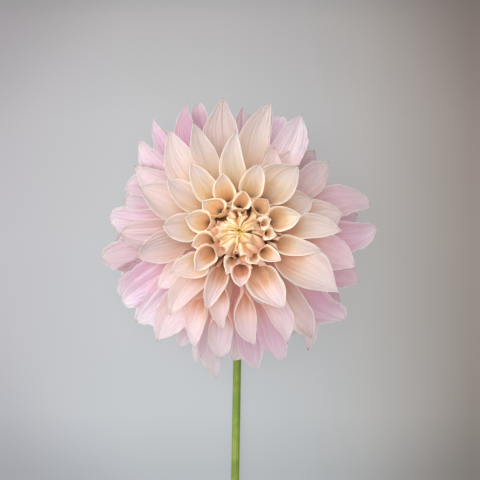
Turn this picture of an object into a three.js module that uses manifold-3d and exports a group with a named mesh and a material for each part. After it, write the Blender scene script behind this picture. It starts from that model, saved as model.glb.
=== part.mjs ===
// A dinner plate dahlia: one cut bloom lying face up, with its bare stem bent back along the surface.
// Millimetres, +Z up. The bloom's axis is vertical while it is built, and the surface is z = 0.
import * as THREE from "three";
import { mergeVertices } from "three/addons/utils/BufferGeometryUtils.js";
import Module from "manifold-3d";

const wasm = await Module();
wasm.setup();

// Driving dimensions
const STEM_RADIUS = 3.5; // to the middle of a flat side
const STEM_SIDES = 10;
const STEM_REACH = 292; // from the bloom's axis to the cut end
const STEM_BEARING = 181; // degrees clockwise from the picture's top
const NECK_BEND = 34; // radius of the bend behind the bloom
const NECK_STEPS = 9;
const CUP_RADIUS = 12; // green cup that carries the bracts, where the stem ends
const SEAT_GAP = 0.3;
const BRACT_DISC_RADIUS = 14;
const BRACT_DISC_HEIGHT = 4.8;
const CROWN_HEIGHT = 20.6; // the florets' crowded claws make a solid crown
const EYE_TOP = 85;
const FACE_LEVEL = 84; // level of the face, where the floret places were judged
const SIGHT = 1070; // from the viewer to the face
const BLADE = 0.9; // thickness of a floret
const NARROWING = 0.9; // florets are narrower than the real ones, so that neighbours cross less
const SURFACE_DIP = 0.25; // how far the lowest florets are pressed flat
const PRESS = 3; // height over which a drooping floret is turned along the surface
const STEM_BERTH = 9; // rise of the lowest florets over the stem

// Places of the florets that show: bearing in degrees clockwise from the top, then the distance from the
// axis to the mouth of the roll and to the tip, and the width.
const QUILLS = [
  [6, 17, 32, 13], [42, 20, 34, 14], [69, 18, 27, 8], [97, 20, 30, 9], [125, 22, 41, 10.5],
  [153, 21, 29, 9], [179, 26, 45, 13.5], [197, 21, 34, 8], [228, 24, 48, 14.5], [253, 21, 40, 16],
  [284, 24, 45, 16], [309, 20, 38, 15], [330, 18, 24, 8], [344, 24, 48, 15],
];
const CUPS = [
  [76, 24, 51, 18], [16, 27, 56, 17.5], [103, 30, 67, 14], [358, 30, 80, 19], [150, 30, 71, 25],
  [324, 31, 67, 18], [203, 32, 68, 15], [239, 33, 64, 21], [42, 34, 70, 30], [274, 34, 62, 22],
  [306, 35, 72, 20], [66, 37, 64, 24], [90, 38, 82, 20],
];
const BOATS = [
  [122, 41, 93, 31], [220, 42, 87, 20], [294, 42, 89, 27], [337, 45, 95, 19], [190, 46, 79, 16],
  [172, 49, 92, 17], [80, 50, 84, 31], [22, 50, 72, 16], [163, 40, 62, 14], [256, 57, 84, 25],
  [235, 57, 80, 20], [32, 52, 75, 20],
];
const BLADES = [
  [157, 58, 98, 19], [107, 60, 97, 28], [146, 58, 104, 25], [201, 60, 99, 19], [188, 62, 103, 20],
  [217, 60, 110, 28], [269, 62, 95, 27], [14, 57, 107, 26], [28, 62, 106, 28], [52, 60, 90, 24],
  [325, 50, 97, 28], [353, 56, 107, 28], [302, 60, 99, 25], [77, 66, 106, 26],
];
const SKIRT = [
  [89, 70, 109, 28], [113, 72, 104, 34], [130, 72, 109, 34], [162, 74, 109, 22], [173, 74, 111, 20],
  [189, 78, 119, 19], [198.5, 74, 112, 14], [229, 72, 110, 30], [239, 74, 109, 34],
  [248, 74, 102, 28], [259, 72, 113, 32], [277, 70, 105, 30], [291, 76, 97, 26], [312, 72, 107, 22],
  [323, 74, 114, 12], [338, 72, 109, 20], [342, 78, 107, 18], [1, 76, 99, 20], [34, 78, 99, 18],
  [43, 72, 88, 24], [64, 72, 85, 18], [150, 76, 108, 20], [208, 76, 104, 20],
];

// The oldest florets, hidden behind the skirt, are evenly spread
const BACK_COUNT = 12;
const BACK_WIDTH = 34;
const BACK_MOUTH = [82, 92];
const BACK_REACH = [104, 93];

// Bracts behind the bloom: count, distance from the axis to root and tip, width, level of the root,
// lift at root and tip in degrees, and thickness
const INNER_BRACTS = { count: 8, root: 9, reach: 35, width: 15, level: 40.6, from: 2, to: -24, thick: 0.8 };
const OUTER_BRACTS = { count: 6, root: 6, reach: 25, width: 8, level: 36, from: -4, to: -64, thick: 1.2 };

// Levels that follow from the dimensions above
const NECK_TOP = STEM_RADIUS + NECK_BEND;
const DISC_BASE = NECK_TOP + 1;
const CROWN_BASE = DISC_BASE + BRACT_DISC_HEIGHT + SEAT_GAP;
const CROWN_TOP = CROWN_BASE + CROWN_HEIGHT;
const EYE_BASE = CROWN_TOP + SEAT_GAP;

// How a floret is held, from the eye outwards: pairs of mouth distance and value
const ROOT_RADIUS = [[17, 20.5], [24, 25], [31, 27.5], [50, 28], [72, 26.5], [96, 24]];
const ROOT_LEVEL = [[17, 62], [31, 59.5], [50, 55], [72, 49.5], [96, 46.5]];
const ROOT_LIFT = [[17, 72], [31, 64], [50, 43], [60, 32], [72, 15], [84, -1], [96, -14]];
const TIP_LIFT = [[17, 56], [24, 32], [31, 12], [40, -4], [60, -20], [72, -32], [96, -58]];
const ROLL_AT_ROOT = [[17, 176], [27, 172], [33, 140], [50, 120], [72, 95], [96, 80]];
const ROLL_AT_TIP = [[17, 84], [24, 62], [40, 42], [60, 32], [96, 18]];
const MOUTH_SHARE = [[17, 0.96], [27, 0.85], [33, 0.7], [50, 0.56], [96, 0.5]];
const FINE_STEPS = 32;

// How florets of one row differ from each other, in degrees and in shares of the length
const LIFT_EASE = 1.15;
const LIFT_SPREAD = 8;
const TIP_LIFT_SHARE = 2.5;
const FLICK_FROM = 0.7;
const FLICK_LEAST = -8;
const FLICK_SPREAD = 30;
const TWIST_SPREAD = 44;
const SWEEP_SPREAD = 0.14;
const OPENNESS_LEAST = 0.85;
const OPENNESS_SPREAD = 0.35;
const POINT_LEAST = 0.8;
const POINT_SPREAD = 0.35;
const FULLNESS = 2.3;

// Florets with a mouth nearer than this are tightly rolled; the others open further down
const TIGHT_MOUTH = 34;
const LOOSE_PACE = 0.45;
const TIGHT_DEPTH = 2;
const LOOSE_DEPTH = 1.2;
const TIGHT_WIDEST = 0.22;
const LOOSE_WIDEST = 0.32;
const OPENING_LEAST = 0.12;
const OPENING_MOST = 0.8;

// The rise over the stem: half its width, where it starts and how far it takes
const BERTH_HALF = 14;
const BERTH_START = 12;
const BERTH_RUN = 16;

// Closed florets of the eye: bearing, distance to the outer end, width
const EYE_FLORETS = [
  [5, 15.5, 6.5], [25, 15, 6], [47, 18, 8], [73, 16.5, 6], [101, 19, 8], [119, 21.5, 9], [139, 21, 8.5],
  [170, 23.5, 9.5], [196, 20, 7.5], [218, 22.5, 9], [239, 20.5, 8], [268, 21, 9], [298, 18, 7.5],
  [327, 16.5, 6.5],
];
const EYE_SIDES = 5;
const EYE_DOME_RADIUS = 12;
const EYE_LEAN = 3;
const EYE_INSET = 0.35; // share of the width that rounds the outer end

// The swelling under the cup, and how fast it fades along the neck
const NECK_SWELL = 5;
const SWELL_FADE = 0.3;
const BRACT_CUP = 0.12; // rise of a bract's margins, as a share of its half width

const radians = THREE.MathUtils.degToRad;
const clamp = THREE.MathUtils.clamp;
const lerp = THREE.MathUtils.lerp;
const vec = (x, y, z) => new THREE.Vector3(x, y, z);

// A repeatable draw between 0 and 1
function draw(seed) {
  const wide = Math.abs(Math.sin(seed * 12.9898 + 4.1414) * 43758.5453);
  return wide - Math.floor(wide);
}

function valueAt(pairs, x) {
  if (x <= pairs[0][0]) return pairs[0][1];
  for (let k = 1; k < pairs.length; k++) {
    const [x0, y0] = pairs[k - 1];
    const [x1, y1] = pairs[k];
    if (x <= x1) return lerp(y0, y1, (x - x0) / (x1 - x0));
  }
  return pairs[pairs.length - 1][1];
}

function outward(bearing) {
  return vec(Math.sin(radians(bearing)), Math.cos(radians(bearing)), 0);
}

function sideways(bearing) {
  return vec(Math.cos(radians(bearing)), -Math.sin(radians(bearing)), 0);
}

// The lowest level that a floret's middle may take: the surface, or the top of the stem
function bedLevel(spot) {
  const over = clamp(1 - Math.abs(spot.dot(sideways(STEM_BEARING))) / BERTH_HALF, 0, 1);
  const along = clamp((spot.dot(outward(STEM_BEARING)) - BERTH_START) / BERTH_RUN, 0, 1);
  return BLADE / 2 - SURFACE_DIP + STEM_BERTH * over * over * (3 - 2 * over) * along;
}

// A midrib in the upright plane through the axis, turning steadily from its root's lift to its tip's
function midrib(mouth, reach, seed) {
  const turn = radians((draw(seed) - 0.5) * LIFT_SPREAD);
  const from = radians(valueAt(ROOT_LIFT, mouth)) + turn;
  const to = radians(valueAt(TIP_LIFT, mouth)) + turn * TIP_LIFT_SHARE;
  const flick = radians(FLICK_LEAST + FLICK_SPREAD * draw(seed + 0.13));
  const radius = valueAt(ROOT_RADIUS, mouth);
  const level = valueAt(ROOT_LEVEL, mouth);
  const lifts = [];
  const across = [0];
  const up = [0];
  for (let i = 0; i <= FINE_STEPS; i++) {
    const s = i / FINE_STEPS;
    const late = clamp((s - FLICK_FROM) / (1 - FLICK_FROM), 0, 1);
    lifts.push(from + (to - from) * s ** LIFT_EASE + flick * late * late);
    if (i === 0) continue;
    const middle = (lifts[i] + lifts[i - 1]) / 2;
    across.push(across[i - 1] + Math.cos(middle) / FINE_STEPS);
    up.push(up[i - 1] + Math.sin(middle) / FINE_STEPS);
  }
  // What lies further from the eye looks smaller, so the reach grows with depth
  let length = (reach - radius) / across[FINE_STEPS];
  for (let pass = 0; pass < 4; pass++) {
    const tipLevel = Math.max(level + length * up[FINE_STEPS], PRESS);
    length = (reach * (1 + (FACE_LEVEL - tipLevel) / SIGHT) - radius) / across[FINE_STEPS];
  }
  const at = (s) => {
    const place = clamp(s, 0, 1) * FINE_STEPS;
    const k = Math.min(FINE_STEPS - 1, Math.floor(place));
    const f = place - k;
    return {
      radius: radius + length * lerp(across[k], across[k + 1], f),
      level: level + length * lerp(up[k], up[k + 1], f),
      lift: lerp(lifts[k], lifts[k + 1], f),
    };
  };
  return { at, length };
}

// The share of its length at which a floret's roll opens
function openingShare(rib, mouth, tubeRadius) {
  const tight = mouth < TIGHT_MOUTH;
  const opens = tight ? mouth : TIGHT_MOUTH + (mouth - TIGHT_MOUTH) * LOOSE_PACE;
  const depth = tight ? TIGHT_DEPTH : LOOSE_DEPTH;
  for (let i = 0; i <= FINE_STEPS; i++) {
    const p = rib.at(i / FINE_STEPS);
    if (p.radius - depth * tubeRadius * Math.sin(p.lift) >= opens) {
      return clamp(i / FINE_STEPS, OPENING_LEAST, OPENING_MOST);
    }
  }
  return 0.5;
}

// One ray floret: a blade rolled into a tube at its root, opening past its mouth to a pointed trough
function floretSolid([bearing, mouth, reach, width], seed, fractions, columns) {
  const rib = midrib(mouth, reach, seed);
  const half = NARROWING * width / 2;
  const tubeRadius = half * valueAt(MOUTH_SHARE, mouth);
  const opening = openingShare(rib, mouth, tubeRadius);
  const widest = opening + (1 - opening) * (mouth < TIGHT_MOUTH ? TIGHT_WIDEST : LOOSE_WIDEST);
  const rollFrom = radians(valueAt(ROLL_AT_ROOT, mouth));
  const openness = OPENNESS_LEAST + OPENNESS_SPREAD * draw(seed + 0.57);
  const rollTo = radians(valueAt(ROLL_AT_TIP, mouth) * openness);
  const point = POINT_LEAST + POINT_SPREAD * draw(seed + 0.91);
  const twist = radians((draw(seed + 0.37) - 0.5) * TWIST_SPREAD);
  const sweep = (draw(seed + 0.71) - 0.5) * SWEEP_SPREAD * rib.length;
  const out = outward(bearing);
  const side = sideways(bearing);
  const ringAt = (s, count) => {
    const p = rib.at(s);
    const t = clamp((s - opening) / (1 - opening), 0, 1);
    const unrolled = 0.72 * (1 - Math.sqrt(t)) + 0.28 * (1 - t) ** 2;
    const roll = rollTo + (rollFrom - rollTo) * unrolled;
    const grown = clamp((s - opening) / (widest - opening), 0, 1);
    const done = clamp((s - widest) / (1 - widest), 0, 1);
    let halfHere = tubeRadius + (half - tubeRadius) * Math.sin(grown * Math.PI / 2);
    halfHere *= (1 - done ** FULLNESS) ** point;
    const curl = halfHere / (roll < Math.PI / 2 ? Math.sin(roll) : 1);
    const up = out.clone().multiplyScalar(-Math.sin(p.lift)).setZ(Math.cos(p.lift));
    const turned = twist * t ** 1.5;
    const b = side.clone().multiplyScalar(Math.cos(turned)).addScaledVector(up, Math.sin(turned));
    const n = up.clone().multiplyScalar(Math.cos(turned)).addScaledVector(side, -Math.sin(turned));
    const centre = out.clone().multiplyScalar(p.radius).setZ(p.level).addScaledVector(side, sweep * s * s);
    return Array.from({ length: count + 1 }, (_, j) => {
      const psi = count ? (-1 + 2 * j / count) * roll : 0;
      const spot = centre.clone();
      if (count) spot.addScaledVector(b, curl * Math.sin(psi)).addScaledVector(n, curl * (1 - Math.cos(psi)));
      const inward = b.clone().multiplyScalar(-Math.sin(psi)).addScaledVector(n, Math.cos(psi));
      const bed = bedLevel(spot);
      if (spot.z < bed + PRESS) {
        const sunk = Math.exp(-(bed + PRESS - spot.z) / PRESS);
        spot.z = bed + PRESS * sunk;
        inward.lerp(vec(0, 0, 1), 1 - sunk).normalize();
      }
      return [spot.clone().addScaledVector(inward, BLADE / 2), spot.addScaledVector(inward, -BLADE / 2)];
    });
  };
  const rings = fractions.map((f) => ringAt(opening + (1 - opening) * f, columns));
  return blade(ringAt(0, 0)[0], rings, ringAt(1, 0)[0]);
}

// A closed thin body from its root, rings of paired points and its tip, both faces split alike
function blade(root, rings, tip) {
  const columns = rings[0].length;
  const points = [...root, ...rings.flat(2), ...tip];
  const last = points.length - 2;
  const triangles = [];
  const index = (i, j) => 2 + 2 * (i * columns + j);
  const pair = (a, b, c) => triangles.push(a, b, c, a + 1, c + 1, b + 1);
  const wall = (a, b) => triangles.push(a, b, b + 1, a, b + 1, a + 1);
  for (let j = 0; j < columns - 1; j++) {
    pair(0, index(0, j + 1), index(0, j));
    pair(last, index(rings.length - 1, j), index(rings.length - 1, j + 1));
  }
  for (let i = 0; i < rings.length - 1; i++) {
    for (let j = 0; j < columns - 1; j++) {
      pair(index(i, j), index(i, j + 1), index(i + 1, j + 1));
      pair(index(i, j), index(i + 1, j + 1), index(i + 1, j));
    }
    wall(index(i, 0), index(i + 1, 0));
    wall(index(i + 1, columns - 1), index(i, columns - 1));
  }
  wall(0, index(0, 0));
  wall(index(0, columns - 1), 0);
  wall(index(rings.length - 1, 0), last);
  wall(last, index(rings.length - 1, columns - 1));
  return solidOf(points, triangles);
}

function solidOf(points, triangles) {
  const mesh = new wasm.Mesh({
    numProp: 3,
    vertProperties: new Float32Array(points.flatMap((p) => [p.x, p.y, p.z])),
    triVerts: new Uint32Array(triangles),
  });
  const solid = new wasm.Manifold(mesh);
  if (solid.volume() > 0) return solid;
  for (let k = 0; k < triangles.length; k += 3) {
    [triangles[k], triangles[k + 1]] = [triangles[k + 1], triangles[k]];
  }
  mesh.triVerts = new Uint32Array(triangles);
  return new wasm.Manifold(mesh);
}

// A body through closed rings of points, capped by a fan at each end
function loft(rings) {
  const sides = rings[0].length;
  const points = rings.flat();
  const triangles = [];
  for (let i = 0; i < rings.length - 1; i++) {
    for (let j = 0; j < sides; j++) {
      const [a, b] = [i * sides + j, i * sides + (j + 1) % sides];
      triangles.push(a, b, b + sides, a, b + sides, a + sides);
    }
  }
  const end = (rings.length - 1) * sides;
  for (let j = 1; j < sides - 1; j++) {
    triangles.push(0, j + 1, j);
    triangles.push(end, end + j, end + j + 1);
  }
  return solidOf(points, triangles);
}

function solidFromGeometry(geometry) {
  const bare = geometry.index ? geometry.clone() : geometry;
  bare.deleteAttribute("normal");
  bare.deleteAttribute("uv");
  const merged = mergeVertices(bare, 1e-4);
  const position = merged.attributes.position;
  const points = [];
  for (let k = 0; k < position.count; k++) points.push(vec().fromBufferAttribute(position, k));
  return solidOf(points, Array.from(merged.index.array));
}

// A turned body about the bloom's axis, from pairs of radius and level
function turned(profile, sides) {
  const outline = profile.map(([radius, level]) => new THREE.Vector2(radius, level));
  const geometry = new THREE.LatheGeometry(outline, sides);
  geometry.rotateX(Math.PI / 2);
  return solidFromGeometry(geometry);
}

// One body from many: hollows that the fusing seals are filled, and loose scraps are dropped
function fuse(solids) {
  const whole = solids.reduce((sum, piece) => sum.add(piece));
  return largest(whole);
}

function largest(solid) {
  return solid.decompose().reduce((best, body) => (body.volume() > best.volume() ? body : best));
}

// All ray florets, fused to the crown of their claws, and pressed flat where they meet the surface
function rayFlorets() {
  const crown = turned([
    [0, CROWN_BASE], [22, CROWN_BASE], [42, 46], [51, 50], [52, 56], [46, 66], [38, 75], [30, 77],
    [23, 73], [18, CROWN_TOP], [0, CROWN_TOP],
  ], 20);
  const solids = [crown];
  let seed = 0;
  const add = (places, fractions, columns) => {
    for (const place of places) solids.push(floretSolid(place, seed++, fractions, columns));
  };
  add(QUILLS, [0, 0.16, 0.6], 5);
  add(CUPS, [0, 0.16, 0.6], 5);
  add(BOATS, [0, 0.3, 0.72], 3);
  add(BLADES, [0, 0.3, 0.74], 3);
  add(SKIRT, [0.1, 0.62], 2);
  for (let row = 0; row < BACK_MOUTH.length; row++) {
    const places = [];
    for (let k = 0; k < BACK_COUNT; k++) {
      const bearing = (k + row / 2) * 360 / BACK_COUNT + 5 * draw(k + 50 * row);
      places.push([bearing, BACK_MOUTH[row], BACK_REACH[row], BACK_WIDTH]);
    }
    add(places, [0.5], 2);
  }
  const below = new THREE.BoxGeometry(400, 400, 20).translate(0, 0, -10);
  return largest(fuse(solids).subtract(solidFromGeometry(below)));
}

// A closed floret of the eye, rooted on the dome and bowed in over the middle
function eyeFloret([bearing, reach, width], seed) {
  const out = outward(bearing);
  const side = sideways(bearing);
  const lean = (draw(seed + 900) - 0.5) * EYE_LEAN;
  // share of the reach, level, share of the width, share of the depth
  const stations = [
    [0.5, EYE_BASE, 0.4, 0.4], [0.8, EYE_BASE + 5, 0.8, 0.7], [1, 75 + lean, 1, 0.85],
    [0.9, 80.5 + lean, 0.95, 0.8], [0.6, EYE_TOP - 1, 0.75, 0.65], [0.1, EYE_TOP - 1.5, 0.2, 0.3],
  ];
  const rings = stations.map(([share, level, wide, deep], k) => {
    const radius = share * (reach - width * EYE_INSET);
    const before = stations[Math.max(0, k - 1)];
    const after = stations[Math.min(stations.length - 1, k + 1)];
    const run = vec((after[0] - before[0]) * reach, after[1] - before[1], 0).normalize();
    const away = out.clone().multiplyScalar(run.y).setZ(-run.x);
    const centre = out.clone().multiplyScalar(radius).setZ(level);
    return Array.from({ length: EYE_SIDES }, (_, j) => {
      const a = 2 * Math.PI * j / EYE_SIDES;
      const spot = centre.clone().addScaledVector(side, wide * width / 2 * Math.cos(a));
      spot.addScaledVector(away, deep * width / 2 * Math.sin(a));
      if (k === 0) spot.z = EYE_BASE;
      return spot;
    });
  });
  return loft(rings);
}

function eye() {
  const dome = turned([
    [0, EYE_BASE], [EYE_DOME_RADIUS - 1, EYE_BASE], [EYE_DOME_RADIUS, 70],
    [EYE_DOME_RADIUS - 2, 76], [6, 80], [0, EYE_TOP - 3],
  ], 12);
  return fuse([dome].concat(EYE_FLORETS.map((place, k) => eyeFloret(place, k))));
}

// A flat leafy blade standing out from the axis and bending steadily downwards
function bractSolid({ root, reach, width, level, from, to, thick }, bearing) {
  const out = outward(bearing);
  const side = sideways(bearing);
  const length = (reach - root) / Math.cos(radians((from + to) / 2));
  const spread = [0.45, 1, 0.8]; // share of the width at each ring
  const stops = [0, 0.3, 0.62, 0.85, 1];
  const pairs = stops.map((s, k) => {
    const lift = radians(from + (to - from) * s);
    const middle = radians(from + (to - from) * s / 2);
    const up = out.clone().multiplyScalar(-Math.sin(lift)).setZ(Math.cos(lift));
    const centre = out.clone().multiplyScalar(root + length * s * Math.cos(middle));
    centre.z = level + length * s * Math.sin(middle);
    const half = k > 0 && k < stops.length - 1 ? spread[k - 1] * width / 2 : 0;
    return (half ? [-1, 0, 1] : [0]).map((v) => {
      const spot = centre.clone().addScaledVector(side, v * half);
      spot.addScaledVector(up, BRACT_CUP * half * v * v);
      return [spot.clone().addScaledVector(up, thick / 2), spot.addScaledVector(up, -thick / 2)];
    });
  });
  return blade(pairs[0][0], pairs.slice(1, -1), pairs[pairs.length - 1][0]);
}

function bractRing(bracts) {
  const bearings = Array.from({ length: bracts.count }, (_, k) => 360 * k / bracts.count);
  return bearings.map((bearing) => bractSolid(bracts, bearing));
}

function innerBracts() {
  const disc = turned([
    [0, DISC_BASE + SEAT_GAP], [CUP_RADIUS, DISC_BASE + SEAT_GAP], [BRACT_DISC_RADIUS, DISC_BASE + 2],
    [BRACT_DISC_RADIUS, CROWN_BASE - SEAT_GAP], [0, CROWN_BASE - SEAT_GAP],
  ], 16);
  return fuse([disc].concat(bractRing(INNER_BRACTS)));
}

// The stem: a cup under the bloom, a quarter bend, and a straight run along the surface on a flat side
function stem() {
  const along = outward(STEM_BEARING);
  const side = sideways(STEM_BEARING);
  const ring = (ahead, level, turn, radius) => {
    const up = along.clone().multiplyScalar(Math.cos(turn)).setZ(Math.sin(turn));
    const centre = along.clone().multiplyScalar(ahead).setZ(level);
    return Array.from({ length: STEM_SIDES }, (_, j) => {
      const a = Math.PI * (2 * j + 1) / STEM_SIDES - Math.PI / 2;
      const corner = radius / Math.cos(Math.PI / STEM_SIDES);
      const spot = centre.clone().addScaledVector(side, corner * Math.cos(a));
      return spot.addScaledVector(up, corner * Math.sin(a));
    });
  };
  const rings = [ring(0, DISC_BASE, 0, CUP_RADIUS), ring(0, NECK_TOP - 1, 0, CUP_RADIUS - 1.5)];
  for (let k = 1; k <= NECK_STEPS; k++) {
    const turn = Math.PI / 2 * k / NECK_STEPS;
    const radius = STEM_RADIUS + NECK_SWELL * Math.exp(-turn / SWELL_FADE) * Math.cos(turn);
    const [ahead, level] = [NECK_BEND * (1 - Math.cos(turn)), NECK_TOP - NECK_BEND * Math.sin(turn)];
    rings.push(ring(ahead, level, turn, radius));
  }
  rings.push(ring(STEM_REACH, STEM_RADIUS, Math.PI / 2, STEM_RADIUS));
  return fuse([loft(rings)].concat(bractRing(OUTER_BRACTS)));
}

const group = new THREE.Group();

function addMesh(name, solid, colour, roughness) {
  const { vertProperties, triVerts } = solid.getMesh();
  const geometry = new THREE.BufferGeometry();
  geometry.setAttribute("position", new THREE.BufferAttribute(vertProperties, 3));
  geometry.setIndex(new THREE.BufferAttribute(triVerts, 1));
  geometry.computeVertexNormals();
  const material = new THREE.MeshStandardMaterial({ color: colour, roughness, metalness: 0 });
  const mesh = new THREE.Mesh(geometry, material);
  mesh.name = name;
  group.add(mesh);
}

addMesh("stem", stem(), 0x8fa24a, 0.6);
addMesh("inner_bracts", innerBracts(), 0xcfc98f, 0.65);
addMesh("ray_florets", rayFlorets(), 0xf2d6cf, 0.6);
addMesh("eye", eye(), 0xe2b46a, 0.65);

// The origin is the middle of the whole part's underside
const box = new THREE.Box3().setFromObject(group);
const middle = box.getCenter(vec(0, 0, 0));
for (const mesh of group.children) mesh.position.set(-middle.x, -middle.y, -box.min.z);

export default group;
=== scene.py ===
# Dinner plate dahlia: the finished looks of a cut bloom that lies face up, with its bracts and its stem.
# Lengths are in millimetres until a mesh is written, which is in metres. Bearings run in degrees clockwise
# from the picture's top, which is +Y, and distances run from the bloom's upright axis.
import math
from contextlib import contextmanager
from types import SimpleNamespace

import bpy
import numpy as np
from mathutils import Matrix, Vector


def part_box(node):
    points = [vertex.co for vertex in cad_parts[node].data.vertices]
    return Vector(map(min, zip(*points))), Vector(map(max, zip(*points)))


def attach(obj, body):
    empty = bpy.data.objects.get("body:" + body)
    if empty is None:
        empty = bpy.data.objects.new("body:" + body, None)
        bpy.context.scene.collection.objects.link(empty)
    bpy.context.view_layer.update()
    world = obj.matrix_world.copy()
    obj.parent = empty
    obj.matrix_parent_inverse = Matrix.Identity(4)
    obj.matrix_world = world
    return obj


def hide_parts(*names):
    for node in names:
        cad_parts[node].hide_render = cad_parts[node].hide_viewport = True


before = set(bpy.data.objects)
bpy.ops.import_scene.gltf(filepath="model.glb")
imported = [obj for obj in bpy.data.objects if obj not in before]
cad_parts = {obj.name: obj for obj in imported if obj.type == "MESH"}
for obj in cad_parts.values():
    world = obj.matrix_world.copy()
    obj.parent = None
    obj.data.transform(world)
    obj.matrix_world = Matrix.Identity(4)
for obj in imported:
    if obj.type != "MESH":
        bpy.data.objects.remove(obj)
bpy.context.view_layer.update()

MM = 0.001
low_corner, high_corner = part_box("inner_bracts")
AXIS = np.array([(low_corner[0] + high_corner[0]) / 2, (low_corner[1] + high_corner[1]) / 2, 0.0]) / MM
UP = np.array([0.0, 0.0, 1.0])
WAVE = 6.28  # radians in one full wave of a ripple

# The stem and the levels behind the bloom, as in the solids
STEM_RADIUS = 3.5
STEM_REACH = 292.0
STEM_BEARING = 181.0
NECK_BEND = 34.0
NECK_SWELL = 5
NECK_TOP = STEM_RADIUS + NECK_BEND
CUP_RADIUS = 12.0
DISC_BASE = NECK_TOP + 1.0
DISC_RADIUS = 14
CROWN_BASE = DISC_BASE + 5.1
CROWN_TOP = CROWN_BASE + 20.6
CROWN_RADIUS = 25.5
EYE_BASE = CROWN_TOP + 0.3
EYE_TOP = 85.0
FACE_LEVEL = 84.0
SIGHT = 1070.0  # from the viewer to the face

# How the lowest florets lie on the surface, and how far they rise over the stem
PETAL_THICKNESS = 0.5
PRESS = 3.0
STEM_BERTH = 9.0
BERTH_HALF_WIDTH = 14
BERTH_START, BERTH_RUN = 12, 16

# Places of the florets that show: bearing, distance to the mouth of the roll, distance to the tip, width
QUILLS = [
    (6, 17, 32, 13), (42, 20, 34, 14), (69, 18, 27, 8), (97, 20, 30, 9), (125, 22, 41, 10.5),
    (153, 20.5, 30, 11), (179, 26, 45, 13.5), (197, 21.5, 36, 10), (228, 24, 48, 14.5), (253, 21, 40, 16),
    (284, 24, 45, 16), (309, 20, 38, 15), (330, 18, 24, 8), (344, 24, 48, 15),
]
CUPS = [
    (76, 24, 51, 18), (16, 27, 56, 17.5), (103, 30, 67, 14), (358, 30, 80, 19), (150, 30, 71, 25),
    (324, 31, 67, 18), (203, 32, 68, 15), (239, 33, 64, 21), (42, 34, 70, 30), (274, 34, 62, 22),
    (306, 35, 72, 20), (66, 37, 64, 24), (90, 38, 82, 20),
]
BOATS = [
    (122, 41, 93, 31), (220, 42, 87, 20), (294, 42, 89, 27), (337, 45, 95, 19), (190, 46, 79, 16),
    (172, 49, 92, 17), (80, 50, 84, 31), (22, 50, 72, 16), (163, 40, 62, 14), (256, 57, 84, 25),
    (235, 57, 80, 20), (32, 52, 75, 20),
]
BLADES = [
    (157, 58, 98, 19), (107, 60, 97, 28), (146, 58, 104, 25), (201, 60, 99, 19), (188, 62, 103, 20),
    (217, 60, 110, 28), (269, 62, 95, 27), (14, 57, 107, 26), (28, 62, 106, 28), (52, 60, 90, 24),
    (325, 50, 97, 28), (353, 56, 107, 28), (302, 60, 99, 25), (77, 66, 106, 26),
]
SKIRT = [
    (89, 70, 109, 28), (113, 72, 104, 34), (130, 72, 109, 34), (162, 74, 109, 22), (173, 74, 111, 20),
    (189, 78, 119, 19), (198.5, 74, 112, 14), (229, 72, 110, 30), (239, 74, 109, 34),
    (248, 74, 102, 28), (259, 72, 113, 32), (277, 70, 105, 30), (291, 76, 97, 26), (312, 72, 107, 24),
    (323, 74, 114, 12), (338, 72, 109, 20), (342, 78, 107, 18), (1, 76, 99, 20), (34, 78, 99, 18),
    (43, 72, 88, 24), (64, 72, 85, 18), (150, 76, 108, 20), (208, 76, 104, 20),
]
# Hidden back rows: mouth, share of the spread that they reach, width and number of florets
BACK_ROWS = [(82, 1.0, 30, 18), (88, 0.96, 28, 16), (94, 0.88, 26, 14)]

# How far the back of the bloom spreads, by bearing
SPREAD = [
    (0, 97), (15, 100), (30, 96), (45, 88), (62, 80), (72, 94), (88, 98), (97, 86), (110, 97), (128, 103),
    (137, 92), (150, 100), (172, 103), (192, 106), (205, 98), (225, 104), (240, 105), (252, 97), (260, 104),
    (280, 101), (295, 94), (310, 99), (330, 100), (360, 97),
]

# How mauve the outer florets of a bearing are: below 0 they are paler, and from 0 to 1 deeper
MAUVE = [
    (0, 0.35), (28, 0.4), (60, 0.5), (90, 0.8), (118, 1.0), (130, 0.6), (162, 0.5), (173, 0.4), (184, -0.8),
    (200, -0.8), (215, 0), (240, 0.35), (262, 0.45), (285, 0.3), (305, 0.25), (328, 0.6), (336, 1.0),
    (344, 0.9), (360, 0.35),
]

# Painted shade: how much darker the florets of a bearing are painted where they lie in shade
SHADE = [
    (0, 0.52), (14, 0.38), (28, 0.04), (42, 0.64), (60, 0.3), (80, 0.35), (95, 0.22), (107, 0.08), (116, 0.3),
    (123, 0.3), (130, 0.12), (142, 0.38), (146, 0.62), (150, 0.18), (157, 0.1), (162, 0.08), (172, 0.18),
    (190, 0.22), (201, 0.0), (215, 0.18), (230, 0.13), (243, 0.08), (256, 0.54), (268, 0.52), (278, 0.2),
    (290, 0.42), (300, 0.24), (325, 0.18), (338, 0.37), (353, 0.58), (360, 0.52),
]

# How a floret is held, from the eye outwards: pairs of mouth distance and value, with angles in degrees
ROOT_RADIUS = [(17, 20.5), (24, 25), (31, 27.5), (50, 28), (72, 26.5), (96, 24)]
ROOT_LEVEL = [(17, 62), (31, 59.5), (50, 55), (72, 49.5), (96, 46.5)]
ROOT_LIFT = [(17, 72), (31, 64), (50, 43), (60, 32), (72, 15), (84, -1), (96, -14)]
TIP_LIFT = [(17, 56), (24, 32), (31, 12), (40, -4), (60, -20), (72, -32), (96, -58)]
ROLL_AT_ROOT = [(17, 186), (27, 182), (33, 146), (50, 120), (72, 95), (96, 80)]
ROLL_AT_TIP = [(17, 84), (24, 62), (40, 52), (60, 42), (72, 30), (96, 20)]
MOUTH_SHARE = [(17, 0.96), (27, 0.85), (33, 0.7), (50, 0.56), (96, 0.5)]
TIP_TAPER = [(17, 1.2), (31, 1.25), (50, 1.1), (62, 1.0), (72, 0.8), (96, 0.75)]
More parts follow.
